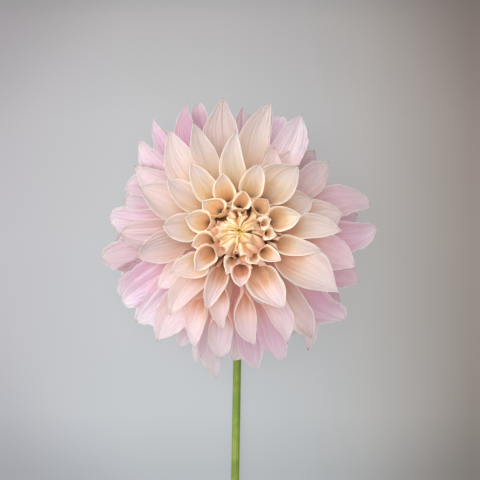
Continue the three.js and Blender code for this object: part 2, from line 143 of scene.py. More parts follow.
FULLNESS = [(17, 2.4), (31, 2.8), (62, 3.0), (72, 3.4), (96, 3.6)]
RUFFLE = [(17, 0.05), (31, 0.15), (50, 0.25), (72, 0.32), (96, 0.30)]
FLARE = [(17, 2.5), (31, 1.6), (50, 0.9), (96, 0.4)]
SETTLED = [(17, 0.15), (24, 0.35), (31, 0.8), (40, 1)]
TUBES_END = 34  # florets with a nearer mouth are tubes up to it
SKIRT_START = 72
SHARP_END = 48  # florets with a nearer mouth all have a sharp tip
CLAW = 2.2  # radius of a floret's root
OVERLAP = 0.35  # how far one margin of a tube laps over the other

# Florets that stay rolled down to their mouth: the middle bearing, how far round they go, share of the width
ROLLED_AT = 190
ROLLED_SPREAD = 38
ROLLED_MOUTH = 0.4

# Small quills that have only begun to open: the mouth, reach and width below which one counts as young
YOUNG_LIMITS = (24, 38, 12)
YOUNG_MOUTH = 0.7
YOUNG_RISE = 7
YOUNG_RUFFLE = 0.2

# Where painted shade darkens the crowded florets round the eye: under this level, within this radius, up to
# this mouth
HEART_LEVEL = 71.5
HEART_FADE = 12
HEART_RADIUS = 42
HEART_LAST = 62
HEART_EDGE = 12

# Where the rows of cells of a blank fall: its root, the mouth of the roll, a quarter of the blade, the tip
ROW_STOPS = [0, 0.16, 0.55, 1]
TUBE_UV = 0.2  # share of the UV map's height that the tube takes
FINE_STEPS = 32

# What a floret draws for itself: offset from its seed, lowest and highest value
TRAITS = {
    "turn": (0, -4, 4), "flick": (0.13, -8, 22), "hook": (0.61, -11.9, 22.1), "openness": (0.57, 0.85, 1.2),
    "sharp_tip": (0.91, 0, 0.3), "any_tip": (0.91, -0.2, 0.4), "twist": (0.37, -30, 30),
    "sweep": (0.71, -0.08, 0.08), "tip_bend": (0.77, -0.14, 0.14), "uneven": (0.53, -0.45, 0.45),
    "skew": (0.29, -0.2, 0.2), "pinch": (0.67, 0, 56), "margin_phase": (0.97, 0, 1), "swells": (0.03, 1.6, 3),
    "nicks": (0.07, 9, 14), "ruffle_phase": (0.83, 0, 1), "ruffles": (0.47, 1.2, 2.7), "frills": (0.19, 5, 9),
    "long_wave": (0.11, 0, 1), "slant_wave": (0.17, 0, 1), "crease": (0.33, 0.03, 0.10),
    "fading": (0.39, 0, 1), "pleats": (0.23, 8, 15), "pleat_shift": (0.27, 0, 2), "tone": (0.43, 0, 1),
}

# Closed florets of the eye: bearing, distance to the outer end, width
EYE_FLORETS = [
    (3, 17, 6.5), (20, 15, 5), (38, 19.5, 8), (57, 15, 5), (75, 17, 7), (97, 19, 6.5), (121, 23, 10.5),
    (146, 22.5, 9), (171, 24.5, 10.5), (190, 18.5, 6), (215, 23, 11), (242, 21.5, 8.5), (271, 23, 11),
    (297, 18.5, 8.5), (316, 15.5, 5), (334, 19.5, 7),
]
INNER_FLORETS = 10
HEART_FLORETS = 7
HEART_WIDTH = 3.4

# Tiers of the eye: levels of the root, the shoulder and the top, and how far the lips open
OUTER_TIER = (EYE_BASE, 75, EYE_TOP - 3, 1)
INNER_TIER = (EYE_BASE + 8, 79.5, EYE_TOP + 0.4, 0.3)
HEART_TIER = (EYE_BASE + 8, 76, EYE_TOP + 1.2, 0)
INNER_TONE, HEART_TONE = 0.4, 2.0

# A closed floret along its length: stops, then shares of its reach, its half width and its half depth
EYE_STOPS = np.array([0, 0.18, 0.42, 0.62, 0.82, 1])
EYE_RADII = np.array([0.5, 0.8, 1, 0.88, 0.58, 0.1])
EYE_WIDTHS = np.array([0.4, 0.85, 1.2, 1.06, 0.66, 0.14])
EYE_DEPTHS = np.array([0.4, 0.7, 0.85, 0.8, 0.6, 0.3])
EYE_INSET = 0.35  # share of the width that rounds the outer end
EYE_PLEATS = 3
LIP_REACH = 0.085
LIP_SPREAD = 0.62
DOME_RADIUS = 17.5
DOME_HEIGHT = 17.5
EYE_TRAITS = {
    "lean": (900, -2.25, 2.25), "plumpness": (910, 0.88, 1), "lobe_turn": (5.1, 0, WAVE),
    "bend": (940, -2.5, 2.5), "waver": (945, 0, WAVE), "pleat_swing": (7.3, 0, WAVE), "lips": (8.9, 0, 1),
    "lip_at": (930, 0.525, 0.595), "lip_turn": (935, -0.45, 0.45), "inner_turn": (60, 0, 16),
    "inner_reach": (61, 11.5, 15), "inner_width": (62, 6.2, 7.8), "heart_turn": (80, 0, 24),
    "heart_reach": (81, 5.2, 7.7),
}

# Bracts behind the bloom: count, distances to root and tip, width, level, lifts in degrees, thickness
INNER_BRACTS = dict(count=8, root=9, reach=36, width=15, level=40.6, lifts=(2, -24), thick=0.5)
OUTER_BRACTS = dict(count=6, root=6, reach=26, width=8.5, level=36, lifts=(-4, -64), thick=0.9)
BRACT_OUTLINE = [(0, 0.4), (0.15, 0.55), (0.4, 0.95), (0.62, 1), (0.85, 0.66), (0.96, 0.22), (1, 0.04)]


# Small sums

def draw(seed):
    """A repeatable draw between 0 and 1."""
    return abs(math.sin(seed * 12.9898 + 4.1414) * 43758.5453) % 1.0


def trait(seed, name, traits=TRAITS):
    """One trait that a floret draws for itself."""
    offset, low, high = traits[name]
    return low + (high - low) * draw(seed + offset)


def value_at(pairs, x):
    return float(np.interp(x, [p[0] for p in pairs], [p[1] for p in pairs]))


def outward(bearing):
    return np.array([math.sin(math.radians(bearing)), math.cos(math.radians(bearing)), 0.0])


def sideways(bearing):
    return np.array([math.cos(math.radians(bearing)), -math.sin(math.radians(bearing)), 0.0])


def between(first, second):
    """The angle between two bearings, from 0 to 180."""
    return abs((first - second + 180) % 360 - 180)


def smooth(x):
    x = np.clip(x, 0, 1)
    return x * x * (3 - 2 * x)


def ramp(x, start, span):
    """From 0 at the start to 1 at the end of the span."""
    return np.clip((x - start) / span, 0, 1)


def blend(first, second, share):
    return first + (second - first) * share


def by_point(values):
    """A column of values that scales one direction at each point."""
    return np.asarray(values)[:, None]


# Shape of one ray floret

def is_young(place):
    """Whether a floret is one of the small quills that have only begun to open."""
    return all(value < limit for value, limit in zip(place[1:], YOUNG_LIMITS))


def bed_level(points):
    """The lowest level that a floret may take: the surface, or the top of the stem."""
    over = smooth(1 - np.abs(points @ sideways(STEM_BEARING)) / BERTH_HALF_WIDTH)
    along = ramp(points @ outward(STEM_BEARING), BERTH_START, BERTH_RUN)
    return PETAL_THICKNESS / 2 + 0.1 + STEM_BERTH * over * along


def midrib(place, seed):
    """The middle line of a floret at even steps: radius, level and lift, and its length."""
    mouth, reach = place[1:3]
    turn = math.radians(trait(seed, "turn"))
    start = math.radians(value_at(ROOT_LIFT, mouth)) + turn
    end = math.radians(value_at(TIP_LIFT, mouth)) + turn * 2.5
    share = np.linspace(0, 1, FINE_STEPS + 1)
    flick = math.radians(trait(seed, "flick")) * ramp(share, 0.7, 0.3) ** 2
    hook = math.radians(trait(seed, "hook")) * ramp(share, 0.84, 0.16) ** 2
    lift = start + (end - start) * share ** 1.15 + flick + hook
    middle = (lift[1:] + lift[:-1]) / 2
    run = np.concatenate([[0], np.cumsum(np.cos(middle))]) / FINE_STEPS
    rise = np.concatenate([[0], np.cumsum(np.sin(middle))]) / FINE_STEPS
    radius = value_at(ROOT_RADIUS, mouth)
    level = value_at(ROOT_LEVEL, mouth) + (YOUNG_RISE if is_young(place) else 0)
    length = (reach - radius) / run[-1]
    # What lies further from the viewer looks smaller, so the reach grows with depth
    for _ in range(4):
        tip_level = max(level + length * rise[-1], PRESS)
        length = (reach * (1 + (FACE_LEVEL - tip_level) / SIGHT) - radius) / run[-1]
    return SimpleNamespace(
        share=share, radius=radius + length * run, level=level + length * rise, lift=lift, length=length)


def rolled_share(bearing, mouth):
    """How far a floret stays rolled down to its mouth, as those that hang towards the picture's foot do."""
    if not TUBES_END <= mouth < SKIRT_START:
        return 0.0
    return float(smooth(1.6 * (1 - between(bearing, ROLLED_AT) / ROLLED_SPREAD)))


def opening_share(rib, mouth, rolled, tube_radius):
    """The share of a floret's length at which it opens, so that its mouth is where the photo shows it."""
    opens, sunk = mouth, 2
    if mouth >= TUBES_END:
        opens, sunk = blend(TUBES_END + (mouth - TUBES_END) * 0.45, mouth, rolled), 1.2
    past = rib.radius - sunk * tube_radius * np.sin(rib.lift) >= opens
    return min(0.8, max(0.12, rib.share[int(np.argmax(past))])) if past.any() else 0.5


def roll_angles(mouth, seed, past, rolled):
    """Half the angle that a floret rolls through: most at the claw, and pinched again at the tip."""
    quick = 0.75 if mouth < TUBES_END else 0.3
    slow = 0.72 * (1 - np.sqrt(past)) + 0.28 * (1 - past) ** 2
    closed = quick * np.exp(-np.sqrt(past / 0.035)) + (1 - quick) * slow
    closed = blend(closed, (1 - past) ** 1.7, rolled)
    root = math.radians(blend(value_at(ROLL_AT_ROOT, mouth), 180, rolled))
    tip = math.radians(value_at(ROLL_AT_TIP, mouth) * trait(seed, "openness"))
    pinch = math.radians(trait(seed, "pinch")) * ramp(past, 0.7, 0.3) ** 1.5
    return blend(tip, root, closed) + pinch


def half_widths(place, seed, along, opening, tube_radius, rolled):
    """Half the width of a floret: a tube that widens from the claw, then a blade that narrows to its tip."""
    mouth, half = place[1], place[3] / 2
    widest = opening + (1 - opening) * (0.22 if mouth < TUBES_END else blend(0.32, 0.42, rolled))
    tube = CLAW + (tube_radius - CLAW) * np.clip(along / opening, 0, 1) ** 0.7
    grown = np.sin(ramp(along, opening, widest - opening) * math.pi / 2)
    blade = tube_radius + (half - tube_radius) * grown
    taper = (1 - ramp(along, widest, 1 - widest) ** value_at(FULLNESS, mouth)).clip(0, 1)
    point = value_at(TIP_TAPER, mouth) + trait(seed, "sharp_tip" if mouth < SHARP_END else "any_tip")
    return np.where(along < opening, tube, blade) * taper ** point


def floret_axes(place, seed, rib, along, past):
    """The middle line at each point, and the directions across the floret and out of its face."""
    bearing, mouth = place[:2]
    radius, level, lift = (np.interp(along, rib.share, line) for line in (rib.radius, rib.level, rib.lift))
    sweep, tip_bend = trait(seed, "sweep") * rib.length, trait(seed, "tip_bend") * rib.length
    tip_aside = math.degrees(math.atan2(sweep + tip_bend, rib.radius[-1]))
    out, side = outward(bearing - tip_aside), sideways(bearing - tip_aside)
    up = by_point(np.cos(lift)) * UP - by_point(np.sin(lift)) * out
    bent = sweep * along ** 2 + tip_bend * ramp(along, 0.6, 0.4) ** 2
    centre = by_point(radius) * out + by_point(level) * UP + by_point(bent) * side
    twist = math.radians(trait(seed, "twist")) * value_at(SETTLED, mouth)
    turned = by_point(twist * past ** 1.5)
    return centre, side * np.cos(turned) + up * np.sin(turned), up * np.cos(turned) - side * np.sin(turned)


def floret_points(place, seed, step, across):
    """Points of a floret's middle surface, and how far each is past the mouth of the roll."""
    bearing, mouth, _, width = place
    rib = midrib(place, seed)
    rolled = rolled_share(bearing, mouth)
    tube_radius = width / 2 * blend(value_at(MOUTH_SHARE, mouth), ROLLED_MOUTH, rolled)
    tube_radius = tube_radius * (YOUNG_MOUTH if is_young(place) else 1)
    opening = opening_share(rib, mouth, rolled, tube_radius)
    along = np.interp(step, ROW_STOPS, [0, opening - 0.01, opening + 0.25 * (1 - opening), 1])
    past = ramp(along, opening, 1 - opening)
    roll = roll_angles(mouth, seed, past, rolled)
    half_here = half_widths(place, seed, along, opening, tube_radius, rolled)
    half_here = half_here * uneven_margin(seed, mouth, along, across, past)
    curl = half_here / np.where(roll < math.pi / 2, np.sin(roll), 1)
    settled = value_at(SETTLED, mouth)
    skew, uneven = trait(seed, "skew") * settled, trait(seed, "uneven") * settled
    psi = across * roll * (1 + skew * past * (1 - np.abs(across)) + uneven * past * (1 - past / 2) * across)
    centre, across_way, face_way = floret_axes(place, seed, rib, along, past)
    relief = ruffled_edge(seed, place, half_here, along, across, past)
    relief += soft_waves(seed, width / 2, along, across, past)
    relief += pleats(seed, width / 2, across, past)
    lapped = OVERLAP * across * np.clip(roll / math.pi - 0.5, 0, 0.5) * 2
    inward = by_point(-np.sin(psi)) * across_way + by_point(np.cos(psi)) * face_way
    points = centre + by_point(curl * np.sin(psi)) * across_way + by_point(curl * (1 - np.cos(psi))) * face_way
    lip = turned_lip(place, half_here, across, past)
    points += by_point(relief) * face_way - by_point(lip + lapped) * inward
    bed = bed_level(points)
    sunk = np.exp(-np.clip(bed + PRESS - points[:, 2], 0, None) / PRESS)
    points[:, 2] = np.where(points[:, 2] < bed + PRESS, bed + PRESS * sunk, points[:, 2])
    return points, past


def turned_lip(place, half_here, across, past):
    """How far the margins turn outwards, most of all at the mouth of the roll."""
    flare = value_at(FLARE, place[1]) * (0.4 + 0.6 * np.exp(-past / 0.3))
    turned_from = 0.55 if is_young(place) else 0.7
    lip = flare * np.minimum(1, half_here / 3) * smooth(past / 0.04)
    return lip * ramp(np.abs(across), turned_from, 1 - turned_from) ** 2


def uneven_margin(seed, mouth, along, across, past):
    """Swells and nicks of the outline, more of them at the tips of the outer rows."""
    phase = np.where(across > 0, WAVE, 3.6) * trait(seed, "margin_phase")
    swell = (0.07 + 0.06 * ramp(mouth, 26, 30)) * np.sin(WAVE * trait(seed, "swells") * along + phase)
    ragged = 0.08 * ramp(mouth, 45, 30) * np.sin(WAVE * trait(seed, "nicks") * along + phase)
    return 1 + np.abs(across) * past * (swell + ragged * past)


def ruffled_edge(seed, place, half_here, along, across, past):
    """Slow waves of the margin, with a finer frill near the very edge; small young quills curl most."""
    young = YOUNG_RUFFLE if is_young(place) else 0
    amount = (value_at(RUFFLE, place[1]) + young) * half_here * past
    edge = np.abs(across)
    phase = np.where(across > 0, 1, 2) * WAVE * trait(seed, "ruffle_phase")
    slow = edge ** 2 * np.sin(WAVE * trait(seed, "ruffles") * along + phase)
    fine = 0.35 * edge ** 5 * np.sin(WAVE * trait(seed, "frills") * along + 2 * phase)
    return amount * (slow + fine)


def soft_waves(seed, half, along, across, past):
    """Slow rises and hollows of the whole surface."""
    long = np.sin(WAVE * (1.3 * along + 0.4 * across + trait(seed, "long_wave")))
    slant = np.sin(WAVE * (0.9 * along - 0.6 * across + trait(seed, "slant_wave")))
    return 0.06 * half * past * long * slant


def pleats(seed, half, across, past):
    """Shallow lengthwise pleats and the crease of the midrib."""
    body = np.sqrt(np.clip(past * (1 - past) * 4, 0, 1))
    crease = -trait(seed, "crease") * half * np.exp(-(across / 0.11) ** 2)
    fading = 0.5 + 0.5 * np.sin(WAVE * (0.7 * past + 0.6 * across + trait(seed, "fading")))
    rows = 0.05 * half * fading * np.cos(across * trait(seed, "pleats") + trait(seed, "pleat_shift"))
    return body * (crease + rows)


# Levels of the florets made so far, seen from below, in square cells round the axis: a later floret is tucked
# under them, so that the florets lie over each other as they grow
CELL = 0.8
CELLS = 320
TUCK = 0.8
ceiling = np.full((CELLS, CELLS), 1e6)
CELL_STEPS = (0, 0.33, 0.67)  # how finely a floret is read into the cells


def cells_of(points):
    return tuple(np.clip((points[:, axis] / CELL + CELLS / 2).astype(int), 0, CELLS - 1) for axis in (0, 1))


def tuck_under(points, across_count):
    """Presses a floret under those made before it, and then adds its own underside to their levels."""
    drop = np.clip(points[:, 2] - ceiling[cells_of(points)] + TUCK, 0, None).reshape(-1, across_count)
    soft = drop
    for _ in range(3):
        wide = np.pad(soft, 1, "edge")
        soft = (wide[1:-1, 1:-1] * 2 + wide[:-2, 1:-1] + wide[2:, 1:-1] + wide[1:-1, :-2] + wide[1:-1, 2:]) / 6
    points[:, 2] -= np.maximum(drop, soft).ravel()
    points[:, 2] = np.maximum(points[:, 2], PETAL_THICKNESS)
    sheet = points.reshape(-1, across_count, 3)
    for a in CELL_STEPS:
        rows = blend(sheet[:-1], sheet[1:], a)
        for b in CELL_STEPS:
            inside = blend(rows[:, :-1], rows[:, 1:], b).reshape(-1, 3)
            np.minimum.at(ceiling, cells_of(inside), inside[:, 2])
    return points


# Meshes

WALL = "wall"
CREASE_ANGLE = math.radians(55)


def deselect_all():
    for each in bpy.context.selected_objects:
        each.select_set(False)


def select_only(piece):
    deselect_all()
    piece.select_set(True)
    bpy.context.view_layer.objects.active = piece


@contextmanager
def edit_mode():
    bpy.ops.object.mode_set(mode="EDIT")
    yield
    bpy.ops.object.mode_set(mode="OBJECT")


def places_of(piece):
    """The place of each vertex of a piece, and the vertex of each of its face corners."""
    places = np.zeros(len(piece.data.vertices) * 3)
    piece.data.vertices.foreach_get("co", places)
    corners = np.zeros(len(piece.data.loops), dtype=np.int32)
    piece.data.loops.foreach_get("vertex_index", corners)
    return places.reshape(-1, 3), corners


def move_points(mesh, points):
    """Moves the vertices of a mesh to points in millimetres round the bloom's axis."""
    mesh.vertices.foreach_set("co", ((points + AXIS) * MM).ravel())


def add_blank(columns, rows, margin=0.35):
    """A flat strip of cells that every floret of a row is shaped from; its wall thins towards the margins."""
    deselect_all()
    bpy.ops.mesh.primitive_grid_add(x_subdivisions=columns, y_subdivisions=rows, size=2)
    blank = bpy.context.active_object
    across = places_of(blank)[0][:, 0]
    group = blank.vertex_groups.new(name=WALL)
    for place in np.unique(across.round(5)):
        column = np.nonzero(np.abs(across - place) < 1e-4)[0]
        group.add([int(i) for i in column], 1 - (1 - margin) * abs(float(place)) ** 3, "REPLACE")
    return blank


def blank_places(blank):
    """Along (0 to 1) and across (-1 to 1) for each vertex of a blank, and the vertex of each corner."""
    flat, corners = places_of(blank)
    return (flat[:, 1] + 1) / 2, flat[:, 0], corners


def copy_shaped(blank, name, points, uv, corners, marks):
    """A copy of the blank with its own mesh, its vertices moved to the points."""
    mesh = blank.data.copy()
    move_points(mesh, points)
    layer = mesh.uv_layers.active or mesh.uv_layers.new(name="UVMap")
    layer.data.foreach_set("uv", uv[corners].ravel())
    for mark, values in marks.items():
        field = mesh.attributes.new(mark, "FLOAT", "POINT")
        field.data.foreach_set("value", np.broadcast_to(values, len(points)).astype(np.float32))
    piece = bpy.data.objects.new(name, mesh)
    bpy.context.scene.collection.objects.link(piece)
    return piece


def join_as(name, parts, blank, materials):
    """Joins the shaped copies as one piece, and removes the blank that they came from."""
    bpy.data.objects.remove(blank)
    deselect_all()
    for part in parts:
        part.select_set(True)
    bpy.context.view_layer.objects.active = parts[0]
    bpy.ops.object.join()
    return named(bpy.context.active_object, name, materials)


def named(piece, name, materials):
    piece.name = piece.data.name = name
    piece.data.materials.clear()
    for material in materials:
        piece.data.materials.append(material)
    return piece


def give_wall(piece, thickness, reverse=True):
    """Gives a sheet its thickness; its reverse side takes the next material."""
    select_only(piece)
    wall = piece.modifiers.new(WALL, "SOLIDIFY")
    wall.thickness = thickness * MM
    wall.vertex_group = WALL
    wall.offset = 0
    wall.material_offset = 1 if reverse else 0
    bpy.ops.object.modifier_apply(modifier=wall.name)


def finish_piece(piece, node):
    """Smooths a piece and lets it stand for a node of the solids, which it hides."""
    select_only(piece)
    bpy.ops.object.shade_smooth_by_angle(angle=CREASE_ANGLE)
    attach(piece, "root")
    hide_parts(node)


def make_florets(name, places, first_seed, columns, rows, margin, materials):
    """A row of ray florets, each shaped from one blank and joined as one piece."""
    blank = add_blank(columns, rows, margin)
    along, across, corners = blank_places(blank)
    parts = []
    for seed, place in enumerate(places, first_seed):
        points, past = floret_points(place, seed, along, across)
        points = tuck_under(points, columns + 1)
        tube = TUBE_UV * np.clip(along / ROW_STOPS[1], 0, 1)
        uv = np.stack([(across + 1) / 2, np.where(past > 0, TUBE_UV + (1 - TUBE_UV) * past, tube)], axis=1)
        # The deep mark carries painted shade low among the crowded florets
        marks = floret_marks(place, seed) | {"deep": painted_heart_shade(place, points)}
        parts.append(copy_shaped(blank, name, points, uv, corners, marks))
    piece = join_as(name, parts, blank, materials)
    give_wall(piece, PETAL_THICKNESS)
    finish_piece(piece, "ray_florets")


def painted_heart_shade(place, points):
    """How much painted shade a point takes deep among the crowded florets round the eye, from 0 to 1; the back
    rows have none.
    """
    fade = HEART_FADE / (2 if is_young(place) else 1)
    radius = np.hypot(points[:, 0], points[:, 1])
    crowded = smooth((HEART_RADIUS - radius) / HEART_EDGE)
    crowded = crowded * smooth((HEART_LAST + HEART_EDGE - place[1]) / HEART_EDGE)
    return smooth((HEART_LEVEL - points[:, 2]) / fade) * crowded


# Bearings on which the bloom's tints turn, and how far the rosy ones spread
FOOT, FOOT_SPREAD = 178, 55
LEFT, LEFT_SPREAD = 276, 38
PALE_THROAT = 322


def floret_marks(place, seed):
    """Rank from the eye outwards, rosiness towards the picture's foot and its left, and a tone of its own."""
    bearing, mouth = place[0], place[1]
    rank = ramp(mouth, 17, 75)
    foot = math.exp(-(between(bearing, FOOT) / FOOT_SPREAD) ** 2)
    left = 0.6 * math.exp(-(between(bearing, LEFT) / LEFT_SPREAD) ** 2) * min(1, 2 * rank)
    return {
        "rank": rank,
        "rosy": max(foot, left),
        "mauve": value_at(MAUVE, bearing % 360),
        "warm": min(1, 0.62 - 0.62 * math.cos(math.radians(bearing - PALE_THROAT))),
        # painted shade by bearing
        "shade": value_at(SHADE, bearing % 360) * float(smooth((rank - 0.08) / 0.25)),
        "tone": trait(seed, "tone"),
        "young": float(is_young(place)),
    }


def back_places():
    """Places of the hidden back florets, evenly spread but for a small draw each."""
    places = []
    for row, (mouth, share, width, count) in enumerate(BACK_ROWS):
        for k in range(count):
            bearing = (k + row / 2) * 360 / count + 7 * draw(k + 50 * row)
            reach = value_at(SPREAD, bearing % 360) * share - 5 * draw(k + 7.7 * row)
            places.append((bearing, mouth, reach, width))
    return places


# Eye

def eased(values, at):
    """Values between the stops of a closed floret with rounded corners, and their slope."""
    fine = np.linspace(0, 1, 60)
    line = np.pad(np.interp(fine, EYE_STOPS, values), 5, "edge")
    rounded = np.convolve(line, np.ones(11) / 11, "valid")
    return np.interp(at, fine, rounded), np.interp(at, fine, np.gradient(rounded))


def eye_points(place, seed, along, angle, tier):
    """A closed floret of the eye: it stands up from its root and bows in over the middle."""
    lowest, shoulder, top, lips = tier
    bearing, reach, width = place
    out, side = outward(bearing), sideways(bearing)
    lean, turn, bend, waver = (trait(seed, name, EYE_TRAITS) for name in ("lean", "lobe_turn", "bend", "waver"))
    width = width * trait(seed, "plumpness", EYE_TRAITS)
    bowed = (shoulder + top) / 2 + lean
    levels = np.array([lowest, lowest + 5, shoulder + lean, bowed, top - 1 + lean / 3, top - 2])
    radius, run_r = eased(EYE_RADII * (reach - width * EYE_INSET), along)
    level, run_z = eased(levels, along)
    half_width = eased(EYE_WIDTHS * width / 2, along)[0]
    half_depth = eased(EYE_DEPTHS * width / 2, along)[0]
    slope = np.hypot(run_r, run_z)
    face_way = by_point(run_z / slope) * out - by_point(run_r / slope) * UP
    outer_end = np.exp(-((along - 0.5) / 0.13) ** 2)
    lobes = 1 + outer_end * (0.16 * np.cos(3 * angle + turn) + 0.09 * np.cos(5 * angle + 2 * turn))
    form = lobes * (1 + 0.09 * eye_pleats(seed, along, angle))
    bent = bend * np.sin(math.pi * along) ** 2 * min(width / 5, 1) + 0.7 * np.sin(9 * along + waver)
    centre = by_point(radius + 0.5 * np.sin(7 * along + seed)) * out + by_point(level) * UP
    centre = centre + by_point(bent) * side
    curled = curled_lip(seed, along, angle, turn) * lips * lip_opening(seed) * min(1, width / 7)
    crumple = 0.3 * np.sin(11 * along + 2 * angle + seed) * np.sin(19 * along - 3 * angle + 2 * seed)
    points = centre + by_point(half_width * np.cos(angle) * form) * side
    return points + by_point(half_depth * np.sin(angle) * form + curled + crumple) * face_way


def eye_pleats(seed, along, angle):
    """Lengthwise pleats of a closed floret, from -1 in a fold to 1 on a ridge."""
    swing = 1.2 * np.sin(4 * along + trait(seed, "pleat_swing", EYE_TRAITS))
    return np.cos(EYE_PLEATS * angle + swing + seed) * smooth((along - 0.25) / 0.2)


def curled_lip(seed, along, angle, turn):
    """The raised rim and the hollow at a closed floret's outer end."""
    from_lip = distance_from_lip(seed, along, angle)
    frill = 0.65 + 0.35 * np.cos(3 * np.arctan2(angle - math.pi / 2, (along - 0.56) * 7) + turn)
    return 2.7 * frill * np.exp(-((from_lip - 1.25) / 0.38) ** 2) - 2.6 * np.exp(-(from_lip / 0.8) ** 2)


def lip_opening(seed):
    """How far the outer end of a closed floret has opened, from 0 to 1."""
    return float(smooth((trait(seed, "lips", EYE_TRAITS) - 0.05) / 0.4))


def distance_from_lip(seed, along, angle):
    """How far a point lies from the middle of the lip at a closed floret's outer end; 1 is its rim."""
    lip_at = trait(seed, "lip_at", EYE_TRAITS)
    lip_turn = math.pi / 2 + trait(seed, "lip_turn", EYE_TRAITS)
    return np.hypot((along - lip_at) / LIP_REACH, (angle - lip_turn) / LIP_SPREAD)


def low_on_picture(bearing):
    """From 0 for a floret at the top of the picture to 1 for one at its foot."""
    return 0.5 - 0.5 * math.cos(math.radians(bearing + 20))


def eye_places():
    """Place, tier and tone of every closed floret, from the eye's edge to its heart."""
    places = [(place, OUTER_TIER, low_on_picture(place[0])) for place in EYE_FLORETS]
    for k in range(INNER_FLORETS):
        turn, reach, width = (trait(k, "inner_" + name, EYE_TRAITS) for name in ("turn", "reach", "width"))
        bearing = 360 * k / INNER_FLORETS + turn
        places.append(((bearing, reach, width), INNER_TIER, INNER_TONE * low_on_picture(bearing)))
    for k in range(HEART_FLORETS):
        turn, reach = (trait(k, name, EYE_TRAITS) for name in ("heart_turn", "heart_reach"))
        places.append(((360 * k / HEART_FLORETS + turn, reach, HEART_WIDTH), HEART_TIER, HEART_TONE))
    return places


def tube_blank(sides, cuts):
    """A closed tube, cut crosswise, with its length along z from -1 to 1."""
    deselect_all()
    bpy.ops.mesh.primitive_cylinder_add(vertices=sides, radius=1, depth=2, end_fill_type="NGON")
    blank = bpy.context.active_object
    with edit_mode():
        bpy.ops.mesh.select_mode(type="EDGE")
        bpy.ops.mesh.select_all(action="DESELECT")
    for edge in blank.data.edges:
        a, b = (blank.data.vertices[i].co for i in edge.vertices)
        edge.select = abs(a.z - b.z) > 1
    with edit_mode():
        bpy.ops.mesh.subdivide(number_cuts=cuts)
    return blank


def make_eye(materials):
    """The closed florets of the eye and the tiny golden ones at its heart."""
    blank = tube_blank(56, 50)
    flat, corners = places_of(blank)
    along = (flat[:, 2] + 1) / 2
    angle = np.arctan2(flat[:, 1], flat[:, 0])
    uv = np.stack([angle / (2 * math.pi) + 0.5, along], axis=1)
    parts = []
    for seed, (place, tier, tone) in enumerate(eye_places()):
        points = eye_points(place, seed, along, angle, tier)
        lips = tier[3] * lip_opening(seed)
        from_lip = distance_from_lip(seed, along, angle)
        marks = {
            "tone": tone,
            # The hollow mark carries painted shade into the hollow
            "hollow": lips * np.exp(-(from_lip / 0.85) ** 2),
            "rim": lips * np.exp(-((from_lip - 1.35) / 0.4) ** 2),
            "ridge": eye_pleats(seed, along, angle),
        }
        parts.append(copy_shaped(blank, "eye_florets", points, uv, corners, marks))
    finish_piece(join_as("eye_florets", parts, blank, materials), "eye")


def shaped_ball(name, shape, materials):
    """A ball whose vertices are moved to where a shape puts them."""
    deselect_all()
    bpy.ops.mesh.primitive_uv_sphere_add(segments=48, ring_count=24, radius=1)
    ball = bpy.context.active_object
    move_points(ball.data, shape(places_of(ball)[0]))
    return named(ball, name, materials)


def dome_points(ball):
    """The blunt dome that the closed florets stand on, seen only in the folds between them."""
    height = np.where(ball[:, 2] > 0, DOME_HEIGHT * np.abs(ball[:, 2]) ** 0.7, ball[:, 2])
    return np.column_stack([ball[:, :2] * DOME_RADIUS, height + EYE_BASE + 1.5])


def crown_points(ball):
    """The crowded claws inside the bloom, seen only in its deepest gaps."""
    half_height = (CROWN_TOP - CROWN_BASE) / 2
    boxy = np.sign(ball[:, 2]) * np.abs(ball[:, 2]) ** 0.6
    from_axis = by_point(np.hypot(ball[:, 0], ball[:, 1]))
    ribs = 1 + 0.03 * by_point(np.cos(np.arctan2(ball[:, 1], ball[:, 0]) * 24))
    ring = ball[:, :2] / np.maximum(from_axis, 1e-6) * from_axis ** 0.35 * CROWN_RADIUS * ribs
    return np.column_stack([ring, boxy * half_height + CROWN_BASE + half_height])


# Bracts and stem

def bract_points(bracts, bearing, seed, along, across):
    """A cupped bract with a keel, which bends down from its root."""
    root, reach, width = bracts["root"], bracts["reach"], bracts["width"]
    start, end = (math.radians(v) for v in bracts["lifts"])
    length = (reach - root) / math.cos((start + end) / 2)
    lift = start + (end - start) * along
    middle = start + (end - start) * along / 2
    half = width / 2 * np.interp(along, *zip(*BRACT_OUTLINE))
    out, side = outward(bearing), sideways(bearing)
    up = by_point(np.cos(lift)) * UP - by_point(np.sin(lift)) * out
    centre = by_point(root + length * along * np.cos(middle)) * out
    centre = centre + by_point(bracts["level"] + length * along * np.sin(middle)) * UP
    cup = 0.14 * half * across ** 2 + 0.05 * half * np.abs(across) * np.sin(7 * along + WAVE * draw(seed))
    keel = -0.25 * np.exp(-(across / 0.15) ** 2)
    return centre + by_point(half * across) * side + by_point(cup + keel) * up


def make_bracts(name, bracts, first_seed, materials, node):
    """A ring of bracts, each shaped from one blank and joined as one piece."""
    blank = add_blank(14, 24)
    along, across, corners = blank_places(blank)
    uv = np.stack([(across + 1) / 2, along], axis=1)
    parts = []
    for k in range(bracts["count"]):
        points = bract_points(bracts, 360 * k / bracts["count"], first_seed + k, along, across)
        parts.append(copy_shaped(blank, name, points, uv, corners, {"tone": draw(first_seed + k + 0.5)}))
    piece = join_as(name, parts, blank, materials)
    give_wall(piece, bracts["thick"], reverse=False)
    finish_piece(piece, node)


